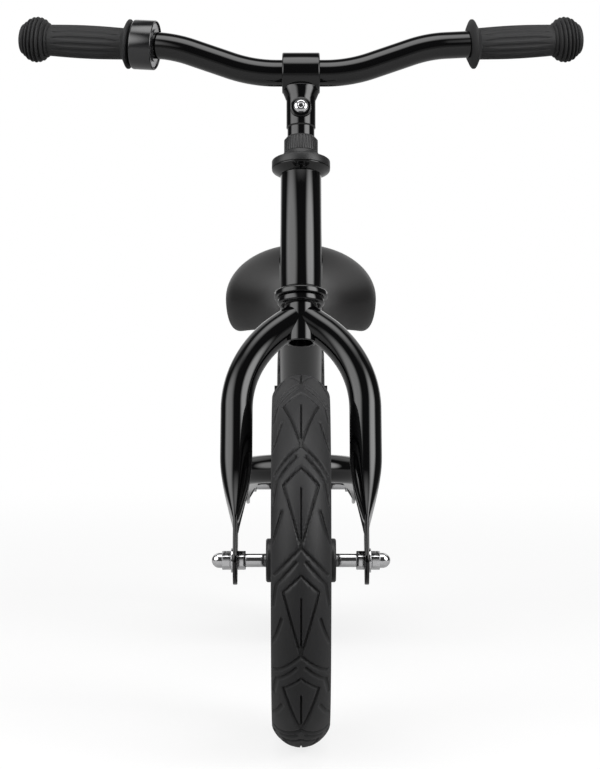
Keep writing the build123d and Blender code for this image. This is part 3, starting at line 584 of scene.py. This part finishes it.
grip_rubber = finish_material(
    "grip_rubber", colour=(0.021, 0.021, 0.0216), dark=(0.014, 0.014, 0.0146), roughness=0.62,
    spread=0.07, bump=0.05, speck_scale=900.0, blotch_scale=80.0,
    Specular_IOR_Level=0.35)
grip_length = 86.8
grip_bore = 11.15
grip_floor = 0.3
flange_curve = [(15.2, -grip_length), (19.9, -84.4), (20.5, -83.9), (20.5, -83.0), (19.9, -82.5),
                (15.6, -80.2), (13.6, -79.4)]
sleeve_start = -78.6
sleeve_length = 62.4
sleeve_end_radius = 13.0
sleeve_swell = 0.8
ball_radius = 19.0
ball_half = 15.0
ball_centre = -4.3
fin_count = 7
fin_pitch = 3.3
fin_depth = 2.1
fin_sharpness = 0.6
ball_core = 12.6
flute_count = 16
steps_per_flute = 8
flute_start = -78.0
flute_end = -17.0
flute_skin = 12.9
flute_taper = 14.0
flute_width = 0.62
flute_edge = 0.22
flute_share = 0.055


def ball_at(offset):
    """Radius of the grip's ball end at a distance from its middle."""
    return ball_radius * math.sqrt(max(0.0, 1 - (offset / ball_half) ** 2))


def grip_profile():
    """Half section of the grip, from its bore round the flange, sleeve, fins and dome."""
    profile = [(0.0, grip_floor), (grip_bore, grip_floor), (grip_bore, -grip_length), *flange_curve]
    sleeve_steps = 26
    wave_steps = 8
    dome_steps = 8
    for step in range(sleeve_steps + 1):
        share = step / sleeve_steps
        swell = sleeve_swell * math.sin(math.pi * share)
        profile.append((sleeve_end_radius + swell, sleeve_start + share * sleeve_length))
    first = -(fin_count * fin_pitch) / 2
    for step in range(1, fin_count * wave_steps):
        offset = first + step * fin_pitch / wave_steps
        wave = 0.5 - 0.5 * math.cos(2 * math.pi * step / wave_steps)
        fin = ball_at(offset) - fin_depth * (1 - wave ** fin_sharpness)
        profile.append((max(fin, ball_core), ball_centre + offset))
    for step in range(1, dome_steps):
        angle = math.pi / 2 * step / dome_steps
        dome = (ball_half + first) * math.sin(angle)
        profile.append((ball_core * math.cos(angle), ball_centre - first + dome))
    profile.append((0.0, ball_centre + ball_half))
    return profile


grip_side = grip_along.cross(Vector((0, 0, 1))).normalized()
grip_up = grip_side.cross(grip_along)
grip_place = Matrix.Translation(bar_tip) @ Matrix((grip_side, grip_up, grip_along)).transposed().to_4x4()
mirror_x = Matrix.Scale(-1, 4, (1, 0, 0))
for side_name, side_matrix in (("left", Matrix.Identity(4)), ("right", mirror_x)):
    grip = lathe(grip_profile(), steps=flute_count * steps_per_flute)
    for vert in grip.verts:
        if flute_start < vert.co.z < flute_end and vert.co.xy.length > flute_skin:
            from_end = min(vert.co.z - flute_start, flute_end - vert.co.z)
            turn = math.atan2(vert.co.y, vert.co.x)
            phase = abs(((turn * flute_count / (2 * math.pi)) + 0.5) % 1.0 - 0.5) * 2
            open_width = flute_width * min(1.0, from_end / flute_taper)
            depth = max(0.0, min(1.0, (phase - 1 + open_width) / flute_edge))
            vert.co.xy *= 1 - flute_share * depth
    bmesh.ops.transform(grip, matrix=side_matrix @ steering @ grip_place, verts=grip.verts)
    show(f"grip_{side_name}_moulded", grip, grip_rubber, "handlebar", "grip_rubber", f"grip_{side_name}")


# Twist bell: a clip base on the bar, a steel gong inside and a gloss plastic ring that turns to strike it.
# The ring is a thin shell, open towards the stem.

gloss_plastic = finish_material(
    "gloss_black_plastic", colour=(0.010, 0.010, 0.011), dark=(0.007, 0.007, 0.008), roughness=0.16,
    spread=0.04, bump=0.006, speck_scale=400.0, blotch_scale=40.0,
    Coat_Weight=0.6, Coat_Roughness=0.06)
bell_place = mirror_x @ steering @ grip_place
bell_gap = 0.3
bell_width = 19.0
bell_bore = 13.65
bell_web = 1.3
shell_inner = 19.2
shell_outer = 20.5
inner_lip_radius = 19.9
inner_lip_height = 0.8
outer_lip_radius = 19.7
outer_lip_height = 1.2
bell_outer = -grip_length - bell_gap
bell_inner = bell_outer - bell_width
bell_ring = lathe(
    [(bell_bore, bell_outer - bell_web), (shell_inner, bell_outer - bell_web), (shell_inner, bell_inner),
     (inner_lip_radius, bell_inner), (shell_outer, bell_inner + inner_lip_height),
     (shell_outer, bell_outer - outer_lip_height), (outer_lip_radius, bell_outer), (bell_bore, bell_outer)],
    bell_place, edge_round=0.35, steps=96)
show("bell_ring_moulded", bell_ring, gloss_plastic, "bell_ring", "bell_plastic", "bell_ring")


def dress(material, *nodes):
    """Give CAD nodes that stay as they are a procedural finish."""
    for node in nodes:
        slots = frame["nodes"][node].data.materials
        slots.clear()
        slots.append(material)


dress(gloss_plastic, "bell_base", "bell_striker")
plain_steel = finish_material(
    "plain_steel", colour=(0.55, 0.55, 0.56), dark=(0.42, 0.42, 0.43), roughness=0.28,
    spread=0.06, bump=0.01, speck_scale=700.0, blotch_scale=50.0, Metallic=1.0)
dress(plain_steel, "bell_gong")


# Seat clamp and post: a painted steel collar round the seat tube's rim, with two ears closed by a cross bolt,
# and a painted steel tube that slides in the seat tube and is cut level under the saddle's plate.

clamp_height = 18.0
clamp_bottom = seat_tube_above - clamp_height
clamp_middle = seat_tube_above - clamp_height / 2
clamp_bore = 14.35
clamp_outer = 17.15
half_slit = 1.2
ear_half = 16.0
ear_depth = 14.5
ear_back = clamp_outer + 13.0
ear_round = 1.6
collar_ring = lathe(tube_profile(clamp_bore, clamp_outer, clamp_bottom, seat_tube_above), edge_round=0.8)
ears = bmesh.new()
for side in (-1, 1):
    ear = bmesh.ops.create_cube(ears, size=1.0)["verts"]
    bmesh.ops.scale(ears, vec=(ear_half - half_slit, ear_depth, clamp_height), verts=ear)
    ear_middle = (side * (ear_half + half_slit) / 2, ear_back - ear_depth / 2, clamp_middle)
    bmesh.ops.translate(ears, vec=ear_middle, verts=ear)
soften(ears, ear_round)
seat_clamp = joined(collar_ring, ears)
bmesh.ops.transform(seat_clamp, matrix=seat_axis, verts=seat_clamp.verts)
show("seat_clamp_painted", seat_clamp, gloss_paint, "frame", "frame_paint", "seat_clamp_collar")
dress(satin_plastic, "seat_clamp_bolt", "seat_clamp_nut")
dress(gloss_paint, "saddle_mount_plate")
dress(plain_steel, "saddle_screws")


def trim(shape, point, normal):
    """Cut away what lies past a plane, and close the cut."""
    cut = bmesh.ops.bisect_plane(shape, geom=shape.verts[:] + shape.edges[:] + shape.faces[:],
                                 plane_co=point, plane_no=normal, clear_outer=True)
    rim = [item for item in cut["geom_cut"] if isinstance(item, bmesh.types.BMEdge)]
    bmesh.ops.edgeloop_fill(shape, edges=rim)


post_bore = 11.1
post_radius = 12.7
post_bottom = seat_tube_above - 95.0
post_stock = seat_tube_above + 64.0
post_exposed = 47.0
post_top = seat_joint + seat_up * (seat_tube_above + post_exposed)
plate_thickness = 3.0
post = lathe(tube_profile(post_bore, post_radius, post_bottom, post_stock), seat_axis, tube_end_round)
trim(post, (0, 0, post_top.z - plate_thickness), (0, 0, 1))
show("seat_post_painted", post, gloss_paint, "seat", "frame_paint", "seat_post")


# Saddle: a moulded plastic base under foam, wrapped in smooth black vinyl with drooping side lobes.
# The cover is stretched tight, so it is one smooth crowned form that draws in below its widest line.
# A station gives the distance behind the nose, the half width, and the lowest and highest points.

saddle_vinyl = finish_material(
    "saddle_vinyl", colour=(0.010, 0.0095, 0.0095), dark=(0.0075, 0.007, 0.007), roughness=0.42,
    spread=0.05, bump=0.05, speck_scale=520.0, blotch_scale=45.0,
    Specular_IOR_Level=0.45)
nose_before_post = 111.0
saddle_nose = post_top.y - nose_before_post
saddle_stations = [
    (0.5, 12.0, -0.5, 27.0), (7.0, 18.5, -2.5, 34.0), (25.0, 22.5, -2.0, 41.0), (70.0, 28.0, -2.0, 44.0),
    (108.0, 43.0, -4.0, 48.0), (137.0, 62.0, -7.0, 56.0), (155.0, 69.5, -9.0, 63.5),
    (170.0, 70.0, -9.0, 69.0), (184.0, 69.5, -9.0, 72.0), (196.0, 67.0, -8.0, 71.5),
    (204.0, 63.0, -7.0, 68.0), (208.0, 50.0, -4.0, 61.0)]
cover_steps = 40
widest_share = 0.41
lobe_share = 0.6
hollow_height = 2.0
nose_lip = 10.0
cover = bmesh.new()
previous = None
for back, half, low, high in saddle_stations:
    ring = bmesh.ops.create_circle(cover, segments=cover_steps, radius=1.0)["verts"]
    widest = low + (high - low) * widest_share
    hollow = hollow_height if back > nose_lip else low
    for vert in ring:
        across, lift = vert.co.x, vert.co.y
        height = widest + lift * (high - widest)
        if lift < 0:
            height = widest + (low - widest) * math.sin(math.pi / 2 * min(1.0, -lift / lobe_share))
            if -lift > lobe_share:
                height = low + (hollow - low) * (-lift - lobe_share) / (1 - lobe_share)
        vert.co = Vector((half * across, saddle_nose + back, post_top.z + height))
    previous = skin(cover, ring, previous)
bmesh.ops.edgeloop_fill(cover, edges=previous)
saddle = show("saddle_cover", cover, saddle_vinyl, "seat", "saddle_vinyl", "saddle_pad")
rounding = saddle.modifiers.new("foam_rounding", "SUBSURF")
rounding.levels = 2
rounding.render_levels = 2
dress(satin_plastic, "saddle_base")


# Wheels: moulded black nylon rims, each with a tyre channel, a hub and five pocketed spokes.
# They turn on two ball bearings on a fixed axle, and a plastic cap is pushed over each end of the hub.

rim_nylon = finish_material(
    "rim_nylon", colour=(0.020, 0.020, 0.021), dark=(0.013, 0.013, 0.014), roughness=0.38,
    spread=0.06, bump=0.03, speck_scale=500.0, blotch_scale=50.0,
    Specular_IOR_Level=0.5)
spoke_count = 5
rim_half = 17.0
flange_radius = 108.0
channel_radius = 100.5
well_radius = 96.5
flange_inner = 13.8
hub_radius = 15.5
hub_half = 25.0
hub_bore = 9.2
bearing_radius = 11.05
bearing_inner = 18.0
spoke_half_thick = 8.0
pocket_depth = 5.5
pocket_edge = 3.6
spoke_round = 1.2
spoke_foot_width = 17.0
spoke_foot_reach = 13.7
spoke_head_width = 32.0
spoke_head_reach = 98.0


def spoke_blade():
    """One broad spoke along local Y, tapered, with a pocket in each face."""
    facing = 0.9
    shape = bmesh.new()
    block = bmesh.ops.create_cube(shape, size=1.0)["verts"]
    for vert in block:
        at_head = vert.co.y > 0
        width = spoke_head_width if at_head else spoke_foot_width
        reach = spoke_head_reach if at_head else spoke_foot_reach
        vert.co = Vector((vert.co.x * width, reach, vert.co.z * 2 * spoke_half_thick))
    faces = [face for face in shape.faces if abs(face.normal.z) > facing]
    bmesh.ops.inset_individual(shape, faces=faces, thickness=pocket_edge)
    for face in faces:
        lift = -math.copysign(pocket_depth, face.normal.z)
        sunk = bmesh.ops.extrude_discrete_faces(shape, faces=[face])["faces"]
        for sunk_face in sunk:
            bmesh.ops.translate(shape, vec=(0, 0, lift), verts=sunk_face.verts)
    bmesh.ops.recalc_face_normals(shape, faces=shape.faces)
    soften(shape, spoke_round)
    return shape


def make_rim():
    """Rim hoop, hub and spokes of one wheel, round local Z."""
    hoop = lathe(
        [(flange_radius, -rim_half), (well_radius, -rim_half), (well_radius, rim_half),
         (flange_radius, rim_half), (flange_radius, flange_inner), (channel_radius, flange_inner),
         (channel_radius, -flange_inner), (flange_radius, -flange_inner)], edge_round=1.0, steps=128)
    hub = lathe(
        [(hub_bore, -bearing_inner), (bearing_radius, -bearing_inner), (bearing_radius, -hub_half),
         (hub_radius, -hub_half), (hub_radius, hub_half), (bearing_radius, hub_half),
         (bearing_radius, bearing_inner), (hub_bore, bearing_inner)], edge_round=0.5)
    blades = []
    for index in range(spoke_count):
        blade = spoke_blade()
        turn = Matrix.Rotation(math.pi + 2 * math.pi * index / spoke_count, 3, "Z")
        bmesh.ops.rotate(blade, cent=(0, 0, 0), matrix=turn, verts=blade.verts)
        blades.append(blade)
    return joined(hoop, hub, *blades)


wheel_turn = Matrix(((0, 0, 1), (-1, 0, 0), (0, -1, 0))).to_4x4()
wheels = [("front", Matrix.Translation(front_axle) @ wheel_turn),
          ("rear", Matrix.Translation(rear_axle) @ wheel_turn)]
cap_hole = 5.85
cap_fit = 15.55
cap_outer = 17.0
cap_face_radius = 16.0
cap_face = 27.1
cap_shoulder = 26.1
cap_skirt = 21.0
for wheel, place in wheels:
    body = f"{wheel}_wheel"
    rim = make_rim()
    bmesh.ops.transform(rim, matrix=place, verts=rim.verts)
    show(f"{wheel}_rim_moulded", rim, rim_nylon, body, "rim_nylon", f"{wheel}_rim")
    caps = []
    for side in (1, -1):
        caps.append(lathe(
            [(cap_hole, hub_half * side), (cap_hole, cap_face * side), (cap_face_radius, cap_face * side),
             (cap_outer, cap_shoulder * side), (cap_outer, cap_skirt * side), (cap_fit, cap_skirt * side),
             (cap_fit, hub_half * side)], place, edge_round=0.4))
    hub_caps = joined(*caps)
    show(f"{wheel}_hub_caps_moulded", hub_caps, satin_plastic, body, "headset_plastic", f"{wheel}_hub_caps")
    dress(plain_steel, f"{wheel}_bearing_outer_races", f"{wheel}_bearing_inner_races",
          f"{wheel}_hub_sleeve", f"{wheel}_axle")


# Tyres: solid foam rings with a directional tread of outlined kites and chevrons, pressed on the rims.
# The grooves are modelled in the mesh; an attribute keeps their depth, which the finish uses to paint shade
# on the groove floors and a highlight along their lips.
# A groove line gives its two ends, each along and across one repeat of the tread, and its width.

tyre_radius = 144.0
tyre_half = 22.25
tyre_shoulder = 127.5
tread_repeats = 11
tread_pitch = 2 * math.pi * tyre_radius / tread_repeats
tread_phase = math.radians(36.0)
tread_steps = 72
groove_depth = 1.7
groove_fade = 2.0
crown_bunching = 0.35
crown_power = 2.05
crown_bluntness = 0.72
sidewall = [(118.0, tyre_half), (112.1, tyre_half), (109.2, tyre_half - 1.2), (108.1, tyre_half - 4.0)]
tyre_foot = [(108.1, 13.7), (100.6, 13.7)]
groove_lines = [
    ((0.0, 0.0), (13.0, 13.0), 0.9), ((13.0, 13.0), (62.0, 0.0), 0.9), ((62.0, 0.0), (82.2, 19.5), 1.1),
    ((-9.5, 3.5), (7.5, 18.0), 1.1), ((7.5, 18.0), (25.0, 20.5), 1.1), ((17.0, 0.0), (60.0, 0.0), 0.6),
    ((34.0, 14.0), (50.0, 18.5), 1.0), ((50.0, 18.5), (58.0, 21.5), 1.0)]


def groove_at(run, across):
    """Depth of the tread's grooves, from 0 to 1, at a place along and across the tread."""
    flat_floor = 1.5
    deepest = 0.0
    for (run_a, across_a), (run_b, across_b), width in groove_lines:
        for shift in (-tread_pitch, 0.0, tread_pitch):
            along = (run_b - run_a, across_b - across_a)
            to_point = (run - shift - run_a, across - across_a)
            length = along[0] ** 2 + along[1] ** 2
            share = max(0.0, min(1.0, (to_point[0] * along[0] + to_point[1] * along[1]) / length))
            gap = math.hypot(to_point[0] - share * along[0], to_point[1] - share * along[1])
            deepest = max(deepest, min(1.0, max(0.0, flat_floor - gap / width)))
    return deepest


def crown_radius(across):
    """Radius of the tread at a distance from its middle: a rounded ridge falling to the shoulder."""
    share = min(1.0, abs(across) / tyre_half)
    return tyre_shoulder + (tyre_radius - tyre_shoulder) * (1 - share ** crown_power) ** crown_bluntness


def make_tyre():
    """One foam tyre with its grooves pressed in, round local Z."""
    profile = []
    crown_steps = 58
    on_tread = tyre_shoulder - 0.1
    for step in range(crown_steps + 1):
        bunched = -tyre_half * math.cos(math.pi * step / crown_steps) * crown_bunching
        even = tyre_half * (1 - crown_bunching) * (1 - 2 * step / crown_steps)
        profile.append((crown_radius(bunched - even), bunched - even))
    profile += sidewall + tyre_foot
    profile += [(radius, -across) for radius, across in reversed(sidewall + tyre_foot)]
    shape = lathe(profile, steps=tread_repeats * tread_steps)
    groove = shape.verts.layers.float.new("groove")
    depths = {}
    for vert in shape.verts:
        reach = vert.co.xy.length
        if reach < on_tread:
            continue
        turn = math.atan2(vert.co.y, vert.co.x)
        run = (turn + tread_phase) * tyre_radius % tread_pitch
        key = (round(run, 2), round(abs(vert.co.z), 2))
        if key not in depths:
            depths[key] = groove_at(*key)
        fade = min(1.0, (tyre_half - abs(vert.co.z)) / groove_fade)
        vert[groove] = depths[key] * fade
        vert.co.xy *= 1 - groove_depth * vert[groove] / reach
    return shape


def tyre_foam_material():
    """Matte foam, with painted shade darkening the groove floors and a painted highlight along their lips."""
    # Painted highlight along the groove lips: the depth where it peaks and how much it lightens the foam.
    lip_highlight_depth = 0.22
    lip_highlight_tone = 1.9
    # Painted shade in the grooves: the depth where it is full and how dark it makes the groove floor.
    groove_shade_depth = 0.75
    floor_tone = 0.28
    material = finish_material(
        "tyre_foam", colour=(0.016, 0.016, 0.0167), dark=(0.0092, 0.0092, 0.0099), roughness=0.55,
        spread=0.08, bump=0.08, speck_scale=700.0, blotch_scale=60.0,
        Specular_IOR_Level=0.4)
    nodes = material.node_tree.nodes
    links = material.node_tree.links
    shader = nodes["Principled BSDF"]
    depth = nodes.new("ShaderNodeAttribute")
    depth.attribute_name = "groove"
    # The ramp paints shade into the deep grooves and a highlight along their lips.
    shade_and_highlight_ramp = nodes.new("ShaderNodeValToRGB")
    bands = shade_and_highlight_ramp.color_ramp.elements
    bands[0].color = (1.0, 1.0, 1.0, 1)
    bands[1].position = groove_shade_depth
    bands[1].color = (floor_tone, floor_tone, floor_tone, 1)
    lip_highlight_band = bands.new(lip_highlight_depth)
    lip_highlight_band.color = (lip_highlight_tone, lip_highlight_tone, lip_highlight_tone, 1)
    links.new(depth.outputs["Fac"], shade_and_highlight_ramp.inputs["Fac"])
    shade = nodes.new("ShaderNodeMix")
    shade.data_type = "RGBA"
    shade.blend_type = "MULTIPLY"
    shade.inputs["Factor"].default_value = 1.0
    plain = shader.inputs["Base Color"].links[0].from_socket
    links.new(plain, shade.inputs["A"])
    links.new(shade_and_highlight_ramp.outputs["Color"], shade.inputs["B"])
    links.new(shade.outputs["Result"], shader.inputs["Base Color"])
    return material


tyre_foam = tyre_foam_material()
for wheel, place in wheels:
    tyre = make_tyre()
    bmesh.ops.transform(tyre, matrix=place, verts=tyre.verts)
    show(f"{wheel}_tyre_foam", tyre, tyre_foam, f"{wheel}_wheel", "tyre_foam", f"{wheel}_tyre")


# Axle hardware: plated steel spacer sleeves and lock nuts inside the fork's or yoke's plates,
# and plated washers and domed nuts outside them, all on the threaded ends of the axle.

axle_carriers = {"front": "fork", "rear": "frame"}
axle_bore = 4.05
spacer_radius = 5.25
spacer_end = 42.9
locknut_end = 49.3
washer_radius = 9.5
washer_start = 52.7
washer_end = 54.2
acorn_end = 61.2
axle_nut_flats = 13.0
axle_nut_chamfer = 0.5
dome_radius = 5.9
dome_start = 60.8
dome_centre = 63.3
acorn_steps = 10
acorn_dome = [(0.0, dome_start), (dome_radius, dome_start)]
for step in range(acorn_steps + 1):
    angle = math.pi / 2 * step / acorn_steps
    acorn_dome.append((dome_radius * math.cos(angle), dome_centre + dome_radius * math.sin(angle)))
spacer_profile = tube_profile(axle_bore, spacer_radius, hub_half, spacer_end)
washer_profile = tube_profile(axle_bore, washer_radius, washer_start, washer_end)
for wheel, place in wheels:
    spacers, locknuts, washers, acorns = [], [], [], []
    for side in (1, -1):
        outwards = place @ Matrix.Scale(side, 4, (0, 0, 1))
        spacers.append(lathe(spacer_profile, outwards, edge_round=0.3, steps=40))
        locknuts.append(
            hex_prism(axle_nut_flats, axle_bore, spacer_end, locknut_end, outwards, axle_nut_chamfer))
        washers.append(lathe(washer_profile, outwards, edge_round=0.3, steps=40))
        acorns.append(hex_prism(axle_nut_flats, axle_bore, washer_end, acorn_end, outwards, axle_nut_chamfer))
        acorns.append(lathe(acorn_dome, outwards, steps=48))
    for kind, node, shapes in (
            ("spacers", "axle_spacers", spacers), ("locknuts", "axle_locknuts", locknuts),
            ("washers", "axle_washers", washers), ("acorn_nuts", "acorn_nuts", acorns)):
        show(f"{wheel}_{kind}_plated", joined(*shapes), bright_plating, axle_carriers[wheel],
             "bright_plating", f"{wheel}_{node}")


# Studio: soft boxes, brightest in their middles, stand left, right, above and behind the bike.
# The floor and the surround are plain white to the eye, and the floor keeps the bike's shadow.
# Gloss sees a fifth of the floor's white, and the surround's only behind the bike.

def area_lamp(name, azimuth, distance, height, size, radiance):
    """Soft box that looks at the bike from an azimuth, counted from the camera towards +X."""
    width, tall = size
    bright_middle = 0.20
    dark_rim = 0.55
    aim = Vector((0, -0.15, 0.32))
    lamp = bpy.data.lights.new(name, "AREA")
    lamp.shape = "RECTANGLE"
    lamp.size = width
    lamp.size_y = tall
    lamp.energy = radiance * math.pi * width * tall
    lamp.use_nodes = True
    nodes = lamp.node_tree.nodes
    links = lamp.node_tree.links
    cloth = nodes.new("ShaderNodeNewGeometry")
    from_middle = nodes.new("ShaderNodeVectorMath")
    from_middle.operation = "DISTANCE"
    from_middle.inputs[1].default_value = (0.5, 0.5, 0.0)
    links.new(cloth.outputs["Parametric"], from_middle.inputs[0])
    fade = ranged(nodes, from_middle.outputs["Value"], bright_middle, dark_rim, 1.0, 0.0, "SMOOTHSTEP")
    links.new(fade, nodes["Emission"].inputs["Strength"])
    where = aim + Vector((math.sin(azimuth) * distance, -math.cos(azimuth) * distance, height))
    holder = bpy.data.objects.new(name, lamp)
    holder.location = where
    holder.rotation_euler = (aim - where).to_track_quat("-Z", "Y").to_euler()
    bpy.context.scene.collection.objects.link(holder)


area_lamp("left_soft_box", math.radians(-60), distance=1.8, height=0.85, size=(3.0, 2.2), radiance=3.3)
area_lamp("right_soft_box", math.radians(57), distance=1.8, height=0.85, size=(1.9, 2.2), radiance=5.4)
area_lamp("top_soft_box", 0.0, distance=0.45, height=2.15, size=(3.2, 2.0), radiance=3.4)
for side, side_name in ((-1, "left"), (1, "right")):
    area_lamp(f"rear_{side_name}_soft_box", side * math.radians(140), distance=1.6, height=1.4,
              size=(1.8, 1.8), radiance=0.7)


def worked(nodes, operation, *values):
    """Output of a Math node that takes sockets or plain numbers."""
    node = nodes.new("ShaderNodeMath")
    node.operation = operation
    for socket, value in zip(node.inputs, values):
        if isinstance(value, float):
            socket.default_value = value
        else:
            nodes.id_data.links.new(value, socket)
    return node.outputs[0]


floor_mesh = bmesh.new()
bmesh.ops.create_grid(floor_mesh, x_segments=4, y_segments=4, size=30.0)
floor_data = bpy.data.meshes.new("floor")
floor_mesh.to_mesh(floor_data)
floor_mesh.free()
floor = bpy.data.objects.new("floor", floor_data)
bpy.context.scene.collection.objects.link(floor)
floor_finish = bpy.data.materials.new("white_floor")
floor_finish.use_nodes = True
floor_nodes = floor_finish.node_tree.nodes
floor_links = floor_finish.node_tree.links
floor_nodes.remove(floor_nodes["Principled BSDF"])
floor_path = floor_nodes.new("ShaderNodeLightPath")
white_in_gloss = 0.2
floor_rays = floor_path.outputs
eye_rays = worked(floor_nodes, "ADD", floor_rays["Is Camera Ray"], floor_rays["Is Transmission Ray"])
gloss_rays = worked(floor_nodes, "MULTIPLY", floor_rays["Is Glossy Ray"], white_in_gloss)
white_share = worked(floor_nodes, "MINIMUM", worked(floor_nodes, "ADD", eye_rays, gloss_rays), 1.0)
floor_tone = floor_nodes.new("ShaderNodeMix")
floor_tone.data_type = "RGBA"
floor_tone.inputs["A"].default_value = (0.22, 0.22, 0.22, 1)
floor_tone.inputs["B"].default_value = (0.95, 0.95, 0.95, 1)
floor_paint = floor_nodes.new("ShaderNodeBsdfDiffuse")
floor_place = floor_nodes.new("ShaderNodeTexCoord")
from_bike = floor_nodes.new("ShaderNodeVectorMath")
from_bike.operation = "LENGTH"
sweep_start = 0.5
sweep_end = 1.6
glow_at_bike = 0.8
sweep = ranged(
    floor_nodes, from_bike.outputs["Value"], sweep_start, sweep_end, glow_at_bike, 1.0, "SMOOTHSTEP")
floor_glow = floor_nodes.new("ShaderNodeEmission")
floor_glow.inputs["Strength"].default_value = 1.0
floor_mix = floor_nodes.new("ShaderNodeMixShader")
floor_links.new(white_share, floor_tone.inputs["Factor"])
floor_links.new(floor_tone.outputs["Result"], floor_paint.inputs["Color"])
floor_links.new(floor_place.outputs["Object"], from_bike.inputs[0])
glow_share = worked(floor_nodes, "MULTIPLY", white_share, sweep)
floor_links.new(glow_share, floor_mix.inputs["Fac"])
floor_links.new(floor_paint.outputs["BSDF"], floor_mix.inputs[1])
floor_links.new(floor_glow.outputs["Emission"], floor_mix.inputs[2])
floor_links.new(floor_mix.outputs["Shader"], floor_nodes["Material Output"].inputs["Surface"])
floor_data.materials.append(floor_finish)

world = bpy.data.worlds.new("studio")
bpy.context.scene.world = world
world.use_nodes = True
world_nodes = world.node_tree.nodes
world_links = world.node_tree.links
surround = world_nodes["Background"]
surround.inputs["Color"].default_value = (1, 1, 1, 1)
fill_light = 0.05
path = world_nodes.new("ShaderNodeLightPath")
direction = world_nodes.new("ShaderNodeTexCoord")
split_axes = world_nodes.new("ShaderNodeSeparateXYZ")
behind_start = 0.7
behind_end = 0.97
world_links.new(direction.outputs["Generated"], split_axes.inputs["Vector"])
behind = ranged(world_nodes, split_axes.outputs["Y"], behind_start, behind_end)
in_gloss = worked(world_nodes, "MULTIPLY", path.outputs["Is Glossy Ray"], behind)
to_eye = worked(world_nodes, "MAXIMUM", path.outputs["Is Camera Ray"], path.outputs["Is Transmission Ray"])
white = worked(world_nodes, "MAXIMUM", in_gloss, to_eye)
world_links.new(worked(world_nodes, "MAXIMUM", white, fill_light), surround.inputs["Strength"])

camera_data = bpy.data.cameras.new("photo_camera")
camera = bpy.data.objects.new("photo_camera", camera_data)
bpy.context.scene.collection.objects.link(camera)
bpy.context.scene.camera = camera
camera_distance = 2.186
camera_height = 0.4405
camera_tilt = math.radians(4.18)
camera_shift = -0.0008
camera_data.lens = 132.9
camera_data.sensor_width = 36.0
camera.location = (camera_shift, front_axle.y * METRES - camera_distance, camera_height)
camera.rotation_euler = (math.pi / 2 - camera_tilt, 0, 0)

bpy.context.scene.view_settings.view_transform = "Standard"
